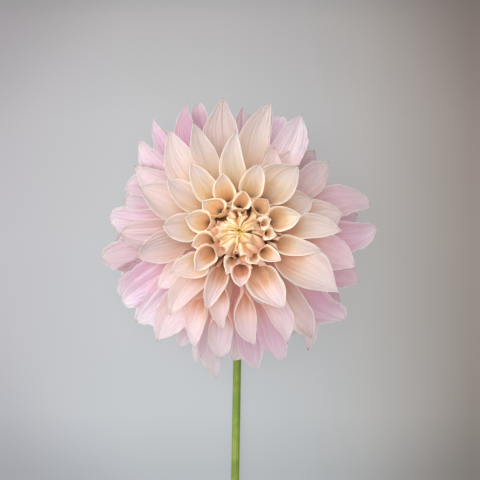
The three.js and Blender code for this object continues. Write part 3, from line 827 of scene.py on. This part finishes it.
def make_bract_disc(materials):
    """The disc under the florets that the inner bracts grow from."""
    deselect_all()
    centre = (AXIS + np.array([0, 0, DISC_BASE + 2.6])) * MM
    bpy.ops.mesh.primitive_cylinder_add(vertices=48, radius=DISC_RADIUS * MM, depth=4.4 * MM, location=centre)
    disc = bpy.context.active_object
    with edit_mode():
        bpy.ops.mesh.select_all(action="SELECT")
        bpy.ops.mesh.bevel(offset=1.2 * MM, segments=3, affect="EDGES")
    bpy.ops.object.transform_apply(location=True)
    finish_piece(named(disc, "bract_disc", materials), "inner_bracts")


def make_stem(materials):
    """A hollow cut stem: straight along the surface, bent up behind the bloom, and swelling to the cup."""
    stem = tube_blank(36, 100)
    with edit_mode():
        bpy.ops.mesh.select_all(action="DESELECT")
        bpy.ops.mesh.select_mode(type="FACE")
    for face in stem.data.polygons:
        face.select = face.normal.z < -0.9
    with edit_mode():
        bpy.ops.mesh.inset(thickness=0.45)
        bpy.ops.mesh.extrude_region_move(TRANSFORM_OT_translate={"value": (0, 0, 0.06)})
    move_points(stem.data, stem_points(places_of(stem)[0]))
    finish_piece(named(stem, "stem_skin", materials), "stem")


def stem_points(tube):
    """Moves a tube from z = -1, the cut end, to z = 1, the cup, onto the stem's path."""
    bend_length = NECK_BEND * math.pi / 2
    straight = STEM_REACH - NECK_BEND
    total = straight + bend_length + 1
    run = (tube[:, 2] + 1) / 2 * total
    turn = ramp(run, straight, bend_length) * math.pi / 2
    ahead = np.where(run < straight, STEM_REACH - run, NECK_BEND * (1 - np.sin(turn)))
    level = np.where(run < straight, STEM_RADIUS, STEM_RADIUS + NECK_BEND * (1 - np.cos(turn)))
    level = level + np.clip(run - straight - bend_length, 0, None)
    to_top = np.clip(math.pi / 2 - turn, 0, None)
    radius = STEM_RADIUS + NECK_SWELL * np.exp(-to_top / 0.3) * np.cos(to_top)
    radius = radius + (CUP_RADIUS - radius) * smooth((run - straight - bend_length + 3) / 4)
    radius *= 1 - 0.03 * smooth((run - 0.1 * total) / total) - 0.012 * np.sin(run / 21) ** 2
    angle = np.arctan2(tube[:, 1], tube[:, 0])
    ribbed = radius * np.hypot(tube[:, 0], tube[:, 1]) * (1 + 0.018 * np.cos(9 * angle))
    along, side = outward(STEM_BEARING), sideways(STEM_BEARING)
    up = by_point(np.cos(turn)) * UP + by_point(np.sin(turn)) * along
    points = by_point(ahead) * along + by_point(level) * UP
    points += by_point(ribbed * np.cos(angle)) * side
    points += by_point(ribbed * np.sin(angle)) * up
    points[:, 2] = np.maximum(points[:, 2], 0.02)
    return points


# Colours of the petals from their root to their tip
CREAM = [
    (0.0, (0.92, 0.46, 0.12)), (0.2, (0.92, 0.65, 0.34)), (0.3, (0.93, 0.71, 0.44)),
    (0.42, (0.93, 0.72, 0.50)), (0.56, (0.91, 0.72, 0.58)), (0.78, (0.86, 0.69, 0.64)),
    (1.0, (0.84, 0.72, 0.66)),
]
ROSE = [
    (0.0, (0.80, 0.32, 0.13)), (0.2, (0.78, 0.33, 0.20)), (0.34, (0.84, 0.42, 0.32)),
    (0.5, (0.89, 0.56, 0.50)), (0.66, (0.88, 0.62, 0.62)), (0.85, (0.87, 0.67, 0.70)),
    (1.0, (0.90, 0.78, 0.76)),
]
LILAC = [
    (0.0, (0.88, 0.48, 0.32)), (0.28, (0.84, 0.53, 0.54)), (0.6, (0.76, 0.50, 0.69)),
    (0.82, (0.79, 0.62, 0.76)), (1.0, (0.90, 0.87, 0.86)),
]
DEEP_LILAC = [
    (0.0, (0.60, 0.25, 0.22)), (0.3, (0.66, 0.26, 0.39)), (0.6, (0.63, 0.22, 0.47)),
    (0.86, (0.71, 0.41, 0.60)), (1.0, (0.82, 0.74, 0.77)),
]
THROAT_ORANGE = (0.61, 0.24, 0.10)
QUILL_GOLD = (0.88, 0.52, 0.23)
# Painted shade deep inside the tubes
CORE_SHADE_BROWN = (0.42, 0.17, 0.05)
CUP_GOLD = (0.91, 0.65, 0.33)
FADED_LILAC = (0.83, 0.78, 0.81)
STREAK_PINK = (0.80, 0.42, 0.57)
BAND_CREAM = (0.94, 0.84, 0.78)
LIP_CREAM = (0.96, 0.82, 0.66)
# Painted shade for the florets that lie in shade
PAINTED_SHADE_BROWN = (0.36, 0.26, 0.25)
# Pale rims: partly the petals' paler margins, partly a painted highlight along the edges
INNER_RIM_AND_HIGHLIGHT = (0.98, 0.88, 0.72)
OUTER_RIM_AND_HIGHLIGHT = (0.97, 0.90, 0.81)
DRY_TIP = (0.50, 0.32, 0.18)
REVERSE_CREAM = (0.90, 0.68, 0.60)
REVERSE_ROSE = (0.90, 0.56, 0.50)
REVERSE_GOLD = (0.86, 0.52, 0.22)
CLAW_BROWN = (0.50, 0.24, 0.10)
# Painted shade deep among the crowded florets round the eye
HEART_SHADE_BROWN = (0.20, 0.07, 0.015)
BLACK = (0, 0, 0)

# Colours of the eye's closed florets
EYE_GOLD = [
    (0.0, (0.18, 0.06, 0.02)), (0.34, (0.30, 0.12, 0.04)), (0.44, (0.80, 0.51, 0.32)),
    (0.6, (0.92, 0.66, 0.41)), (0.82, (0.91, 0.63, 0.27)), (1.0, (0.76, 0.45, 0.08)),
]
# Painted highlight on the ridges, painted shade in the folds and on the flanks
RIDGE_HIGHLIGHT_CREAM = (0.95, 0.83, 0.61)
FOLD_SHADE_ORANGE = (0.62, 0.28, 0.08)
END_ROSE = (0.74, 0.39, 0.26)
FLANK_SHADE_BROWN = (0.46, 0.17, 0.04)
EYE_RIM = (0.97, 0.86, 0.72)
# Painted shade in the hollow at each open end
HOLLOW_SHADE_BROWN = (0.48, 0.18, 0.05)
HEART_GOLD = (0.78, 0.52, 0.09)
PATCH_ORANGE = (0.93, 0.60, 0.40)

# Skins of the other organs: pale and deep colour, roughness, number of veins
PLANT_SKINS = {
    "claw_gold": ((0.26, 0.11, 0.03), (0.15, 0.06, 0.02), 0.7, 60.0),
    "dome_gold": ((0.26, 0.10, 0.03), (0.16, 0.06, 0.02), 0.7, 60.0),
    "bract_paper": ((0.60, 0.60, 0.32), (0.46, 0.44, 0.20), 0.6, 44.0),
    "bract_green": ((0.22, 0.32, 0.07), (0.14, 0.23, 0.04), 0.5, 44.0),
    "stem_green": ((0.29, 0.40, 0.06), (0.19, 0.30, 0.03), 0.45, 60.0),
}

# Painted light falloff on the floor: its colours from left to right, and how they fade from the foot of the
# picture to its top
FLOOR_PAINTED_FALLOFF = [
    (0.02, (0.345, 0.343, 0.366)), (0.26, (0.376, 0.388, 0.402)), (0.45, (0.376, 0.388, 0.400)),
    (0.64, (0.342, 0.350, 0.358)), (0.76, (0.315, 0.310, 0.305)), (0.88, (0.258, 0.240, 0.228)),
    (0.98, (0.207, 0.182, 0.164)),
]
FLOOR_PAINTED_FADE = [
    (0.02, (0.83, 0.86, 0.88)), (0.14, (0.97, 0.99, 1.0)), (0.5, (1.0, 1.0, 1.0)),
    (0.75, (0.95, 0.93, 0.925)), (0.96, (0.80, 0.76, 0.75)), (1.0, (0.72, 0.69, 0.68)),
]
# Where this painted falloff starts and how far it runs, and the point that the painted darkening of the corners
# spreads from, in metres
FLOOR_START = {"X": -0.2053, "Y": -0.1242}
FLOOR_SPAN = 0.4142
FLOOR_PAINTED_POOL_MIDDLE = (0.0018, 0.0829, 0)


# Nodes

def add_node(tree, kind, inputs=None, **settings):
    made = tree.nodes.new(kind)
    for key, value in settings.items():
        setattr(made, key, value)
    for socket, value in (inputs or {}).items():
        if isinstance(value, bpy.types.NodeSocket):
            tree.links.new(value, made.inputs[socket])
        else:
            made.inputs[socket].default_value = value
    return made


def math_node(tree, operation, *values):
    return add_node(tree, "ShaderNodeMath", dict(enumerate(values)), operation=operation).outputs[0]


def times(tree, first, *others):
    for other in others:
        first = math_node(tree, "MULTIPLY", first, other)
    return first


def spread_node(tree, value, low, high, to_low=0.0, to_high=1.0, kind="SMOOTHSTEP"):
    """Maps a value from one range to another, smoothly."""
    inputs = {"Value": value, "From Min": low, "From Max": high, "To Min": to_low, "To Max": to_high}
    return add_node(tree, "ShaderNodeMapRange", inputs, interpolation_type=kind).outputs[0]


def noise(tree, place, scale, detail):
    inputs = {"Vector": place, "Scale": scale, "Detail": detail}
    return add_node(tree, "ShaderNodeTexNoise", inputs).outputs["Fac"]


def mix_colours(tree, share, first, second, blend_type="MIX"):
    sides = ((*side, 1) if isinstance(side, tuple) else side for side in (first, second))
    inputs = dict(zip((0, 6, 7), (share, *sides)))
    return add_node(tree, "ShaderNodeMix", inputs, data_type="RGBA", blend_type=blend_type).outputs[2]


def tint(tree, colour, *layers):
    """Lays colours over a first one, each by its share."""
    for share, over in layers:
        colour = mix_colours(tree, share, colour, over)
    return colour


def colour_ramp(tree, value, stops):
    ramp_node = add_node(tree, "ShaderNodeValToRGB", {"Fac": value})
    elements = ramp_node.color_ramp.elements
    while len(elements) < len(stops):
        elements.new(0.5)
    for element, (place, colour) in zip(elements, stops):
        element.position = place
        element.color = (*colour, 1)
    return ramp_node.outputs[0]


def attributes(tree, *names):
    """The named attributes of a piece, which its mesh carries."""
    return {name: add_node(tree, "ShaderNodeAttribute", attribute_name=name).outputs["Fac"] for name in names}


def axes_of(tree, place):
    return add_node(tree, "ShaderNodeSeparateXYZ", {0: place}).outputs


VEINS = "lengthwise_veins"
MOTTLE = "soft_mottle"


def new_group(name, inputs, outputs):
    group = bpy.data.node_groups.new(name, "ShaderNodeTree")
    kinds = {"value": "NodeSocketFloat", "vector": "NodeSocketVector"}
    for label, kind in inputs:
        group.interface.new_socket(name=label, in_out="INPUT", socket_type=kinds[kind])
    for label in outputs:
        group.interface.new_socket(name=label, in_out="OUTPUT", socket_type=kinds["value"])
    return group, group.nodes.new("NodeGroupInput").outputs, group.nodes.new("NodeGroupOutput").inputs


def make_vein_group():
    """Lengthwise veins of petals and bracts: a height for bump, fine streaks and broad bands."""
    inputs = [("Place", "vector"), ("Count", "value"), ("Waver", "value")]
    group, given, result = new_group(VEINS, inputs, ["Height", "Streaks", "Bands"])
    axes = axes_of(group, given["Place"])
    drift = times(group, noise(group, given["Place"], 3.0, 1.0), given["Waver"])
    line = math_node(group, "ADD", axes["X"], drift)

    def stretched(across, along, detail):
        """Noise with many cells across and few along."""
        place = {"X": times(group, line, across), "Y": times(group, axes["Y"], along), "Z": axes["Z"]}
        return noise(group, add_node(group, "ShaderNodeCombineXYZ", place).outputs[0], 1.0, detail)

    ribs = math_node(group, "SINE", times(group, line, given["Count"]))
    fine = stretched(46.0, 2.4, 3.0)
    group.links.new(math_node(group, "ADD", times(group, ribs, 0.35), fine), result["Height"])
    group.links.new(spread_node(group, fine, 0.45, 0.68), result["Streaks"])
    group.links.new(spread_node(group, stretched(9.0, 1.3, 2.0), 0.42, 0.66), result["Bands"])


def make_mottle_group():
    """Soft patches of tone."""
    group, given, result = new_group(MOTTLE, [("Place", "vector"), ("Scale", "value")], ["Patches"])
    broad = noise(group, given["Place"], given["Scale"], 2.0)
    group.links.new(spread_node(group, broad, 0.35, 0.65), result["Patches"])


def use_group(tree, name, inputs):
    return add_node(tree, "ShaderNodeGroup", inputs, node_tree=bpy.data.node_groups[name]).outputs


def plant_surface(name, roughness, vein_count, waver, patch_scale):
    """A new material with its node tree, its place on the surface, its veins and its patches."""
    material, tree, shader = new_material(name, roughness)
    place = add_node(tree, "ShaderNodeTexCoord").outputs
    veins = use_group(tree, VEINS, {"Place": place["UV"], "Count": vein_count, "Waver": waver})
    patches = use_group(tree, MOTTLE, {"Place": place["Object"], "Scale": patch_scale})["Patches"]
    uv = axes_of(tree, place["UV"])
    return SimpleNamespace(material=material, tree=tree, shader=shader, uv=uv, veins=veins, patches=patches)


def new_material(name, roughness):
    material = bpy.data.materials.new(name)
    material.use_nodes = True
    tree = material.node_tree
    shader = tree.nodes["Principled BSDF"]
    shader.inputs["Roughness"].default_value = roughness
    return material, tree, shader


def finish_surface(skin, colour, bump, depth, through=None):
    """Colours a plant's skin and gives it the relief of its veins and the light that passes through it."""
    tree, shader = skin.tree, skin.shader
    tree.links.new(colour, shader.inputs["Base Color"])
    relief = {"Height": skin.veins["Height"], "Strength": bump, "Distance": depth}
    tree.links.new(add_node(tree, "ShaderNodeBump", relief).outputs["Normal"], shader.inputs["Normal"])
    if through:
        shader.inputs["Subsurface Weight"].default_value = through[0]
        shader.inputs["Subsurface Radius"].default_value = through[1]
        shader.inputs["Subsurface Scale"].default_value = 1.0
    return skin.material


# Petals

PETAL_MARKS = ("rank", "rosy", "mauve", "warm", "shade", "tone", "young", "deep")
PETAL_GLOW_RADIUS = (0.008, 0.005, 0.0035)


def petal_material(name, reverse, through=0.6, sheen=0.08):
    """Blush and cream inside with a golden throat, lilac on the outer rows, and pale rims that are partly a
    painted highlight; painted shade by bearing and deep round the eye, and a painted glow that lifts the shade.
    """
    skin = plant_surface(name, 0.55, 62.0, 0.05, 38.0)
    tree, along = skin.tree, skin.uv["Y"]
    mark = SimpleNamespace(**attributes(tree, *PETAL_MARKS))
    mark.inner = spread_node(tree, mark.rank, 0.02, 0.13, 1.0, 0.0)
    shifted = math_node(tree, "ADD", mark.rank, times(tree, mark.tone, 0.14))
    mark.outer = spread_node(tree, shifted, 0.56, 0.84)
    throat_end = spread_node(tree, mark.rank, 0.2, 0.5, 0.5, 0.58)
    throat = spread_node(tree, along, 0.24, throat_end, 1.0, 0.0)
    colour = inner_colour(skin, mark, throat)
    colour = outer_colour(skin, mark, colour)
    # The pale rim is partly a painted highlight along the edge
    rim, pale_rim_and_highlight = petal_rim_and_highlight(skin, mark)
    dry = times(tree, spread_node(tree, along, 0.965, 1.0), spread_node(tree, mark.tone, 0.45, 0.9))
    # The shade mark lays painted shade over the florets that lie in shade
    colour = tint(tree, colour, (mark.shade, PAINTED_SHADE_BROWN), (rim, pale_rim_and_highlight), (dry, DRY_TIP))
    if reverse:
        back = mix_colours(tree, mark.rosy, REVERSE_CREAM, REVERSE_ROSE)
        back = mix_colours(tree, mark.inner, back, REVERSE_GOLD)
        claw = spread_node(tree, along, 0.02, 0.18, 0.7, 0.0)
        colour = tint(tree, colour, (0.5, back), (claw, CLAW_BROWN))
    # Painted shade: florets low among the crowd round the eye turn dark brown
    colour = mix_colours(tree, times(tree, mark.deep, 0.9), colour, HEART_SHADE_BROWN)
    # Painted light: the petals glow, most in the inner throats and on the rims of the inner rows, which lifts
    # their shade
    painted_throat_glow = times(tree, mark.inner, throat, 0.0 if reverse else 0.22)
    painted_rim_glow = times(tree, rim, spread_node(tree, mark.rank, 0.1, 0.4, 1.0, 0.0), 0.3)
    soft = spread_node(tree, mark.rank, 0.15, 0.5, 0.09, 0.16)
    painted_glow = math_node(tree, "MAXIMUM", math_node(tree, "MAXIMUM", painted_throat_glow, painted_rim_glow), soft)
    tree.links.new(mix_colours(tree, painted_glow, BLACK, colour), skin.shader.inputs["Emission Color"])
    skin.shader.inputs["Emission Strength"].default_value = 1.0
    skin.shader.inputs["Sheen Weight"].default_value = sheen
    return finish_surface(skin, colour, 0.6, 0.0007, (through, PETAL_GLOW_RADIUS))


def inner_colour(skin, mark, throat):
    """Cream to rose, with golden throats and painted shade deep in the tubes: the ground colour of the quills,
    cups and boats.
    """
    tree, along = skin.tree, skin.uv["Y"]
    rose = colour_ramp(tree, along, ROSE)
    quill = times(tree, mark.inner, spread_node(tree, along, 0.28, 0.56, 0.85, 0.0))
    # Painted shade deep inside the tubes, most in the young quills
    core_end = math_node(tree, "ADD", times(tree, mark.young, 0.12), 0.3)
    painted_core_shade = spread_node(tree, along, 0.14, core_end, 0.5, 0.0)
    painted_core_shade = times(tree, painted_core_shade, math_node(tree, "ADD", mark.inner, times(tree, mark.young, 0.7)))
    golden = times(tree, spread_node(tree, mark.rank, 0.12, 0.36, 0.4, 0.0),
                   math_node(tree, "SUBTRACT", 1.0, mark.rosy), spread_node(tree, along, 0.35, 0.9, 1.0, 0.0))
    blush = times(tree, spread_node(tree, mark.rank, 0.2, 0.7), 0.45, skin.patches)
    warm_throat = times(tree, throat, mark.warm, 0.9)
    return tint(
        tree, colour_ramp(tree, along, CREAM), (mark.rosy, rose), (warm_throat, THROAT_ORANGE),
        (quill, QUILL_GOLD), (painted_core_shade, CORE_SHADE_BROWN), (golden, CUP_GOLD), (blush, rose),
    )


def outer_colour(skin, mark, colour):
    """Lays lilac over the outer rows, then the streaks, the pale bands and the creamy lips of the quills."""
    tree, along = skin.tree, skin.uv["Y"]
    lilac = mix_colours(tree, mark.mauve, colour_ramp(tree, along, LILAC), colour_ramp(tree, along, DEEP_LILAC))
    light_mauve = spread_node(tree, mark.mauve, 0.5, 0.95, 0.5, 0.0)
    faded = times(tree, spread_node(tree, mark.tone, 0.45, 0.9), light_mauve)
    faded = math_node(tree, "MAXIMUM", faded, times(tree, mark.mauve, -1.0))
    lilac = mix_colours(tree, times(tree, faded, spread_node(tree, along, 0.25, 0.5)), lilac, FADED_LILAC)
    salmon_root = times(tree, mark.rosy, spread_node(tree, along, 0.28, 0.6, 0.95, 0.0))
    lilac_share = times(tree, mark.outer, math_node(tree, "SUBTRACT", 1.0, salmon_root))
    streaked = times(tree, skin.veins["Streaks"], math_node(tree, "ADD", mark.outer, 0.35), 0.75)
    banded = times(tree, skin.veins["Bands"], spread_node(tree, mark.mauve, 0.5, 1.0, 0.3, 0.1))
    quill_lip = times(tree, mark.inner, spread_node(tree, along, 0.5, 0.8, 0.0, 0.5))
    young_lip = times(tree, mark.young, spread_node(tree, along, 0.3, 0.5, 0.0, 0.7))
    creamy = math_node(tree, "MAXIMUM", quill_lip, young_lip)
    return tint(
        tree, colour, (lilac_share, lilac), (streaked, STREAK_PINK), (banded, BAND_CREAM), (creamy, LIP_CREAM))


def petal_rim_and_highlight(skin, mark):
    """The share and the colour of the pale rim, partly the petals' paler margin and partly a painted highlight
    along the edge; it is widest on the quills.
    """
    tree, along = skin.tree, skin.uv["Y"]
    edge = math_node(tree, "ABSOLUTE", math_node(tree, "SUBTRACT", skin.uv["X"], 0.5))
    starts = spread_node(tree, mark.rank, 0.0, 0.4, 0.365, 0.46)
    starts = math_node(tree, "SUBTRACT", starts, times(tree, mark.young, 0.13))
    full = math_node(tree, "SUBTRACT", 0.495, times(tree, mark.young, 0.12))
    near = spread_node(tree, edge, starts, full, kind="LINEAR")
    strong = spread_node(tree, mark.rank, 0.0, 0.5, 0.97, 0.85)
    rim = times(tree, near, strong, spread_node(tree, along, 0.17, 0.27))
    return rim, mix_colours(tree, spread_node(tree, mark.rank, 0.05, 0.4), INNER_RIM_AND_HIGHLIGHT, OUTER_RIM_AND_HIGHLIGHT)


# Other skins

EYE_GLOW_RADIUS = (0.004, 0.002, 0.001)


def eye_material():
    """Cream ridges with orange folds, golden towards the heart, with pale lips round their open ends: the cream
    is a painted highlight on the ridges and the orange a painted shade in the folds, with painted shade on the
    flanks and in the hollows, and a faint painted glow.
    """
    skin = plant_surface("eye_gold", 0.5, 70.0, 0.04, 160.0)
    tree, along = skin.tree, skin.uv["Y"]
    tone, hollow, rim, ridge = attributes(tree, "tone", "hollow", "rim", "ridge").values()
    # Painted highlight on the ridges of the pleats, painted shade in their folds and on the flanks of each
    # floret
    painted_crest_light = times(tree, spread_node(tree, ridge, 0.2, 1.0, 0.0, 0.7), spread_node(tree, along, 0.45, 0.62))
    folds = spread_node(tree, ridge, -1.0, 0.2, 0.75, 0.0)
    outer_end = spread_node(tree, along, 0.52, 0.86, 0.9, 0.0)
    rosy_end = times(tree, outer_end, math_node(tree, "MINIMUM", tone, 1.0))
    round_tube = math_node(tree, "ABSOLUTE", math_node(tree, "SINE", times(tree, skin.uv["X"], math.tau)))
    painted_flank_shade = spread_node(tree, round_tube, 0.15, 0.7, 0.95, 0.0)
    heart = spread_node(tree, tone, 1.2, 1.8, 0.0, 0.85)
    colour = tint(
        tree, colour_ramp(tree, along, EYE_GOLD), (painted_crest_light, RIDGE_HIGHLIGHT_CREAM), (folds, FOLD_SHADE_ORANGE),
        (rosy_end, END_ROSE), (painted_flank_shade, FLANK_SHADE_BROWN), (times(tree, rim, 0.7), EYE_RIM), (hollow, HOLLOW_SHADE_BROWN),
        (heart, HEART_GOLD), (times(tree, skin.patches, 0.25), PATCH_ORANGE),
    )
    # Painted light: the eye's florets glow faintly in their own colour
    tree.links.new(colour, skin.shader.inputs["Emission Color"])
    skin.shader.inputs["Emission Strength"].default_value = 0.08
    return finish_surface(skin, colour, 0.4, 0.0003, (0.2, EYE_GLOW_RADIUS))


def plant_material(name):
    """A green, golden or papery plant skin with lengthwise veins and soft patches."""
    pale, deep, roughness, vein_count = PLANT_SKINS[name]
    skin = plant_surface(name, roughness, vein_count, 0.03, 60.0)
    colour = mix_colours(skin.tree, skin.patches, pale, deep)
    streaked = times(skin.tree, skin.veins["Streaks"], 0.4)
    colour = mix_colours(skin.tree, streaked, colour, tuple(0.6 * c for c in deep))
    return finish_surface(skin, colour, 0.35, 0.0003)


def floor_material():
    """Pale paper with a painted light falloff to warm grey at the right and the corners; it glows like a light
    table, a painted light that thins the shadow on it.
    """
    material, tree, shader = new_material("pale_floor", 0.9)
    place = add_node(tree, "ShaderNodeTexCoord").outputs["Object"]
    axes = axes_of(tree, place)
    right, up = (
        math_node(tree, "DIVIDE", math_node(tree, "SUBTRACT", axes[axis], start), FLOOR_SPAN)
        for axis, start in FLOOR_START.items()
    )
    painted_falloff, fade = colour_ramp(tree, right, FLOOR_PAINTED_FALLOFF), colour_ramp(tree, up, FLOOR_PAINTED_FADE)
    colour = mix_colours(tree, 1.0, painted_falloff, fade, "MULTIPLY")
    from_middle = add_node(tree, "ShaderNodeVectorMath", {0: place, 1: FLOOR_PAINTED_POOL_MIDDLE}, operation="DISTANCE")
    painted_corner_shade = spread_node(tree, from_middle.outputs["Value"], 0.2, 0.29, 0.0, 0.17)
    colour = mix_colours(tree, painted_corner_shade, colour, BLACK)
    # The floor's own colour is dim; most of its brightness is a painted glow, so shadows on it stay light
    tree.links.new(mix_colours(tree, 0.7, colour, BLACK), shader.inputs["Base Color"])
    tree.links.new(colour, shader.inputs["Emission Color"])
    shader.inputs["Emission Strength"].default_value = 1.17
    return material


# Stage: the lights are given by place, size, energy and colour

AIM = (0, 0.09, 0.05)
LIGHTS = {
    "window": ((-0.78, 0.40, 0.72), 0.9, 7.2, (1.0, 0.98, 0.95)),
    "softbox": ((-0.05, 0.16, 1.60), 1.2, 12.6, (1.0, 0.98, 0.96)),
}
ROOM_COLOUR = (1.0, 0.97, 0.93, 1)
ROOM_STRENGTH = 0.38
PIXEL = 0.8  # millimetres at the level of the face
PICTURE = 480
EYE_PIXEL = (239.5, 231)
LENS = 100.0
SENSOR = 36.0


def make_floor():
    deselect_all()
    bpy.ops.mesh.primitive_plane_add(size=6, location=(0, 0, 0))
    floor = bpy.context.active_object
    floor.name = "floor"
    floor.data.materials.append(floor_material())


def make_lights():
    for name, (place, size, energy, colour) in LIGHTS.items():
        light = bpy.data.objects.new(name, bpy.data.lights.new(name, "AREA"))
        light.data.size = size
        light.data.energy = energy
        light.data.color = colour
        light.location = place
        light.rotation_euler = (Vector(AIM) - Vector(place)).to_track_quat("-Z", "Y").to_euler()
        bpy.context.scene.collection.objects.link(light)
    world = bpy.data.worlds.new("studio")
    world.use_nodes = True
    background = world.node_tree.nodes["Background"]
    background.inputs["Color"].default_value = ROOM_COLOUR
    background.inputs["Strength"].default_value = ROOM_STRENGTH
    bpy.context.scene.world = world


def make_camera():
    """Looks straight down, so that the eye and the bloom's size fall where the photo has them."""
    camera = bpy.data.objects.new("camera", bpy.data.cameras.new("camera"))
    camera.data.lens = LENS
    camera.data.sensor_width = SENSOR
    height = FACE_LEVEL + PIXEL * PICTURE * LENS / SENSOR
    shift = np.array([PICTURE / 2 - EYE_PIXEL[0], EYE_PIXEL[1] - PICTURE / 2, 0]) * PIXEL
    camera.location = (AXIS + shift + np.array([0, 0, height])) * MM
    bpy.context.scene.collection.objects.link(camera)
    bpy.context.scene.camera = camera
    bpy.context.scene.view_settings.view_transform = "Standard"


def make_bloom():
    """Makes the rows of ray florets, each with its columns and rows of cells and its margins' thickness."""
    petals = [petal_material("petal_face", False), petal_material("petal_reverse", True)]
    firm = [petal_material("quill_face", False, 0.25, 0.0), petal_material("quill_reverse", True, 0.25, 0.0)]
    rows = [
        ("quills", QUILLS, 32, 46, 1.0), ("cups", CUPS, 30, 46, 0.8), ("boats", BOATS, 30, 46, 0.6),
        ("blades", BLADES, 30, 46, 0.45), ("skirt", SKIRT, 30, 46, 0.35),
        ("back_florets", back_places(), 14, 24, 0.35),
    ]
    seed = 0
    for name, places, columns, steps, margin in rows:
        make_florets(name, places, seed, columns, steps, margin, firm if name == "quills" else petals)
        seed += len(places)
    crown = shaped_ball("crown", crown_points, [plant_material("claw_gold")])
    finish_piece(crown, "ray_florets")


def make_plant():
    make_vein_group()
    make_mottle_group()
    make_bloom()
    make_eye([eye_material()])
    finish_piece(shaped_ball("eye_dome", dome_points, [plant_material("dome_gold")]), "eye")
    paper, green, skin = (plant_material(name) for name in ("bract_paper", "bract_green", "stem_green"))
    make_bract_disc([paper])
    make_bracts("inner_bract_ring", INNER_BRACTS, 300, [paper], "inner_bracts")
    make_bracts("outer_bracts", OUTER_BRACTS, 320, [green], "stem")
    make_stem([skin])


make_plant()
make_floor()
make_lights()
make_camera()
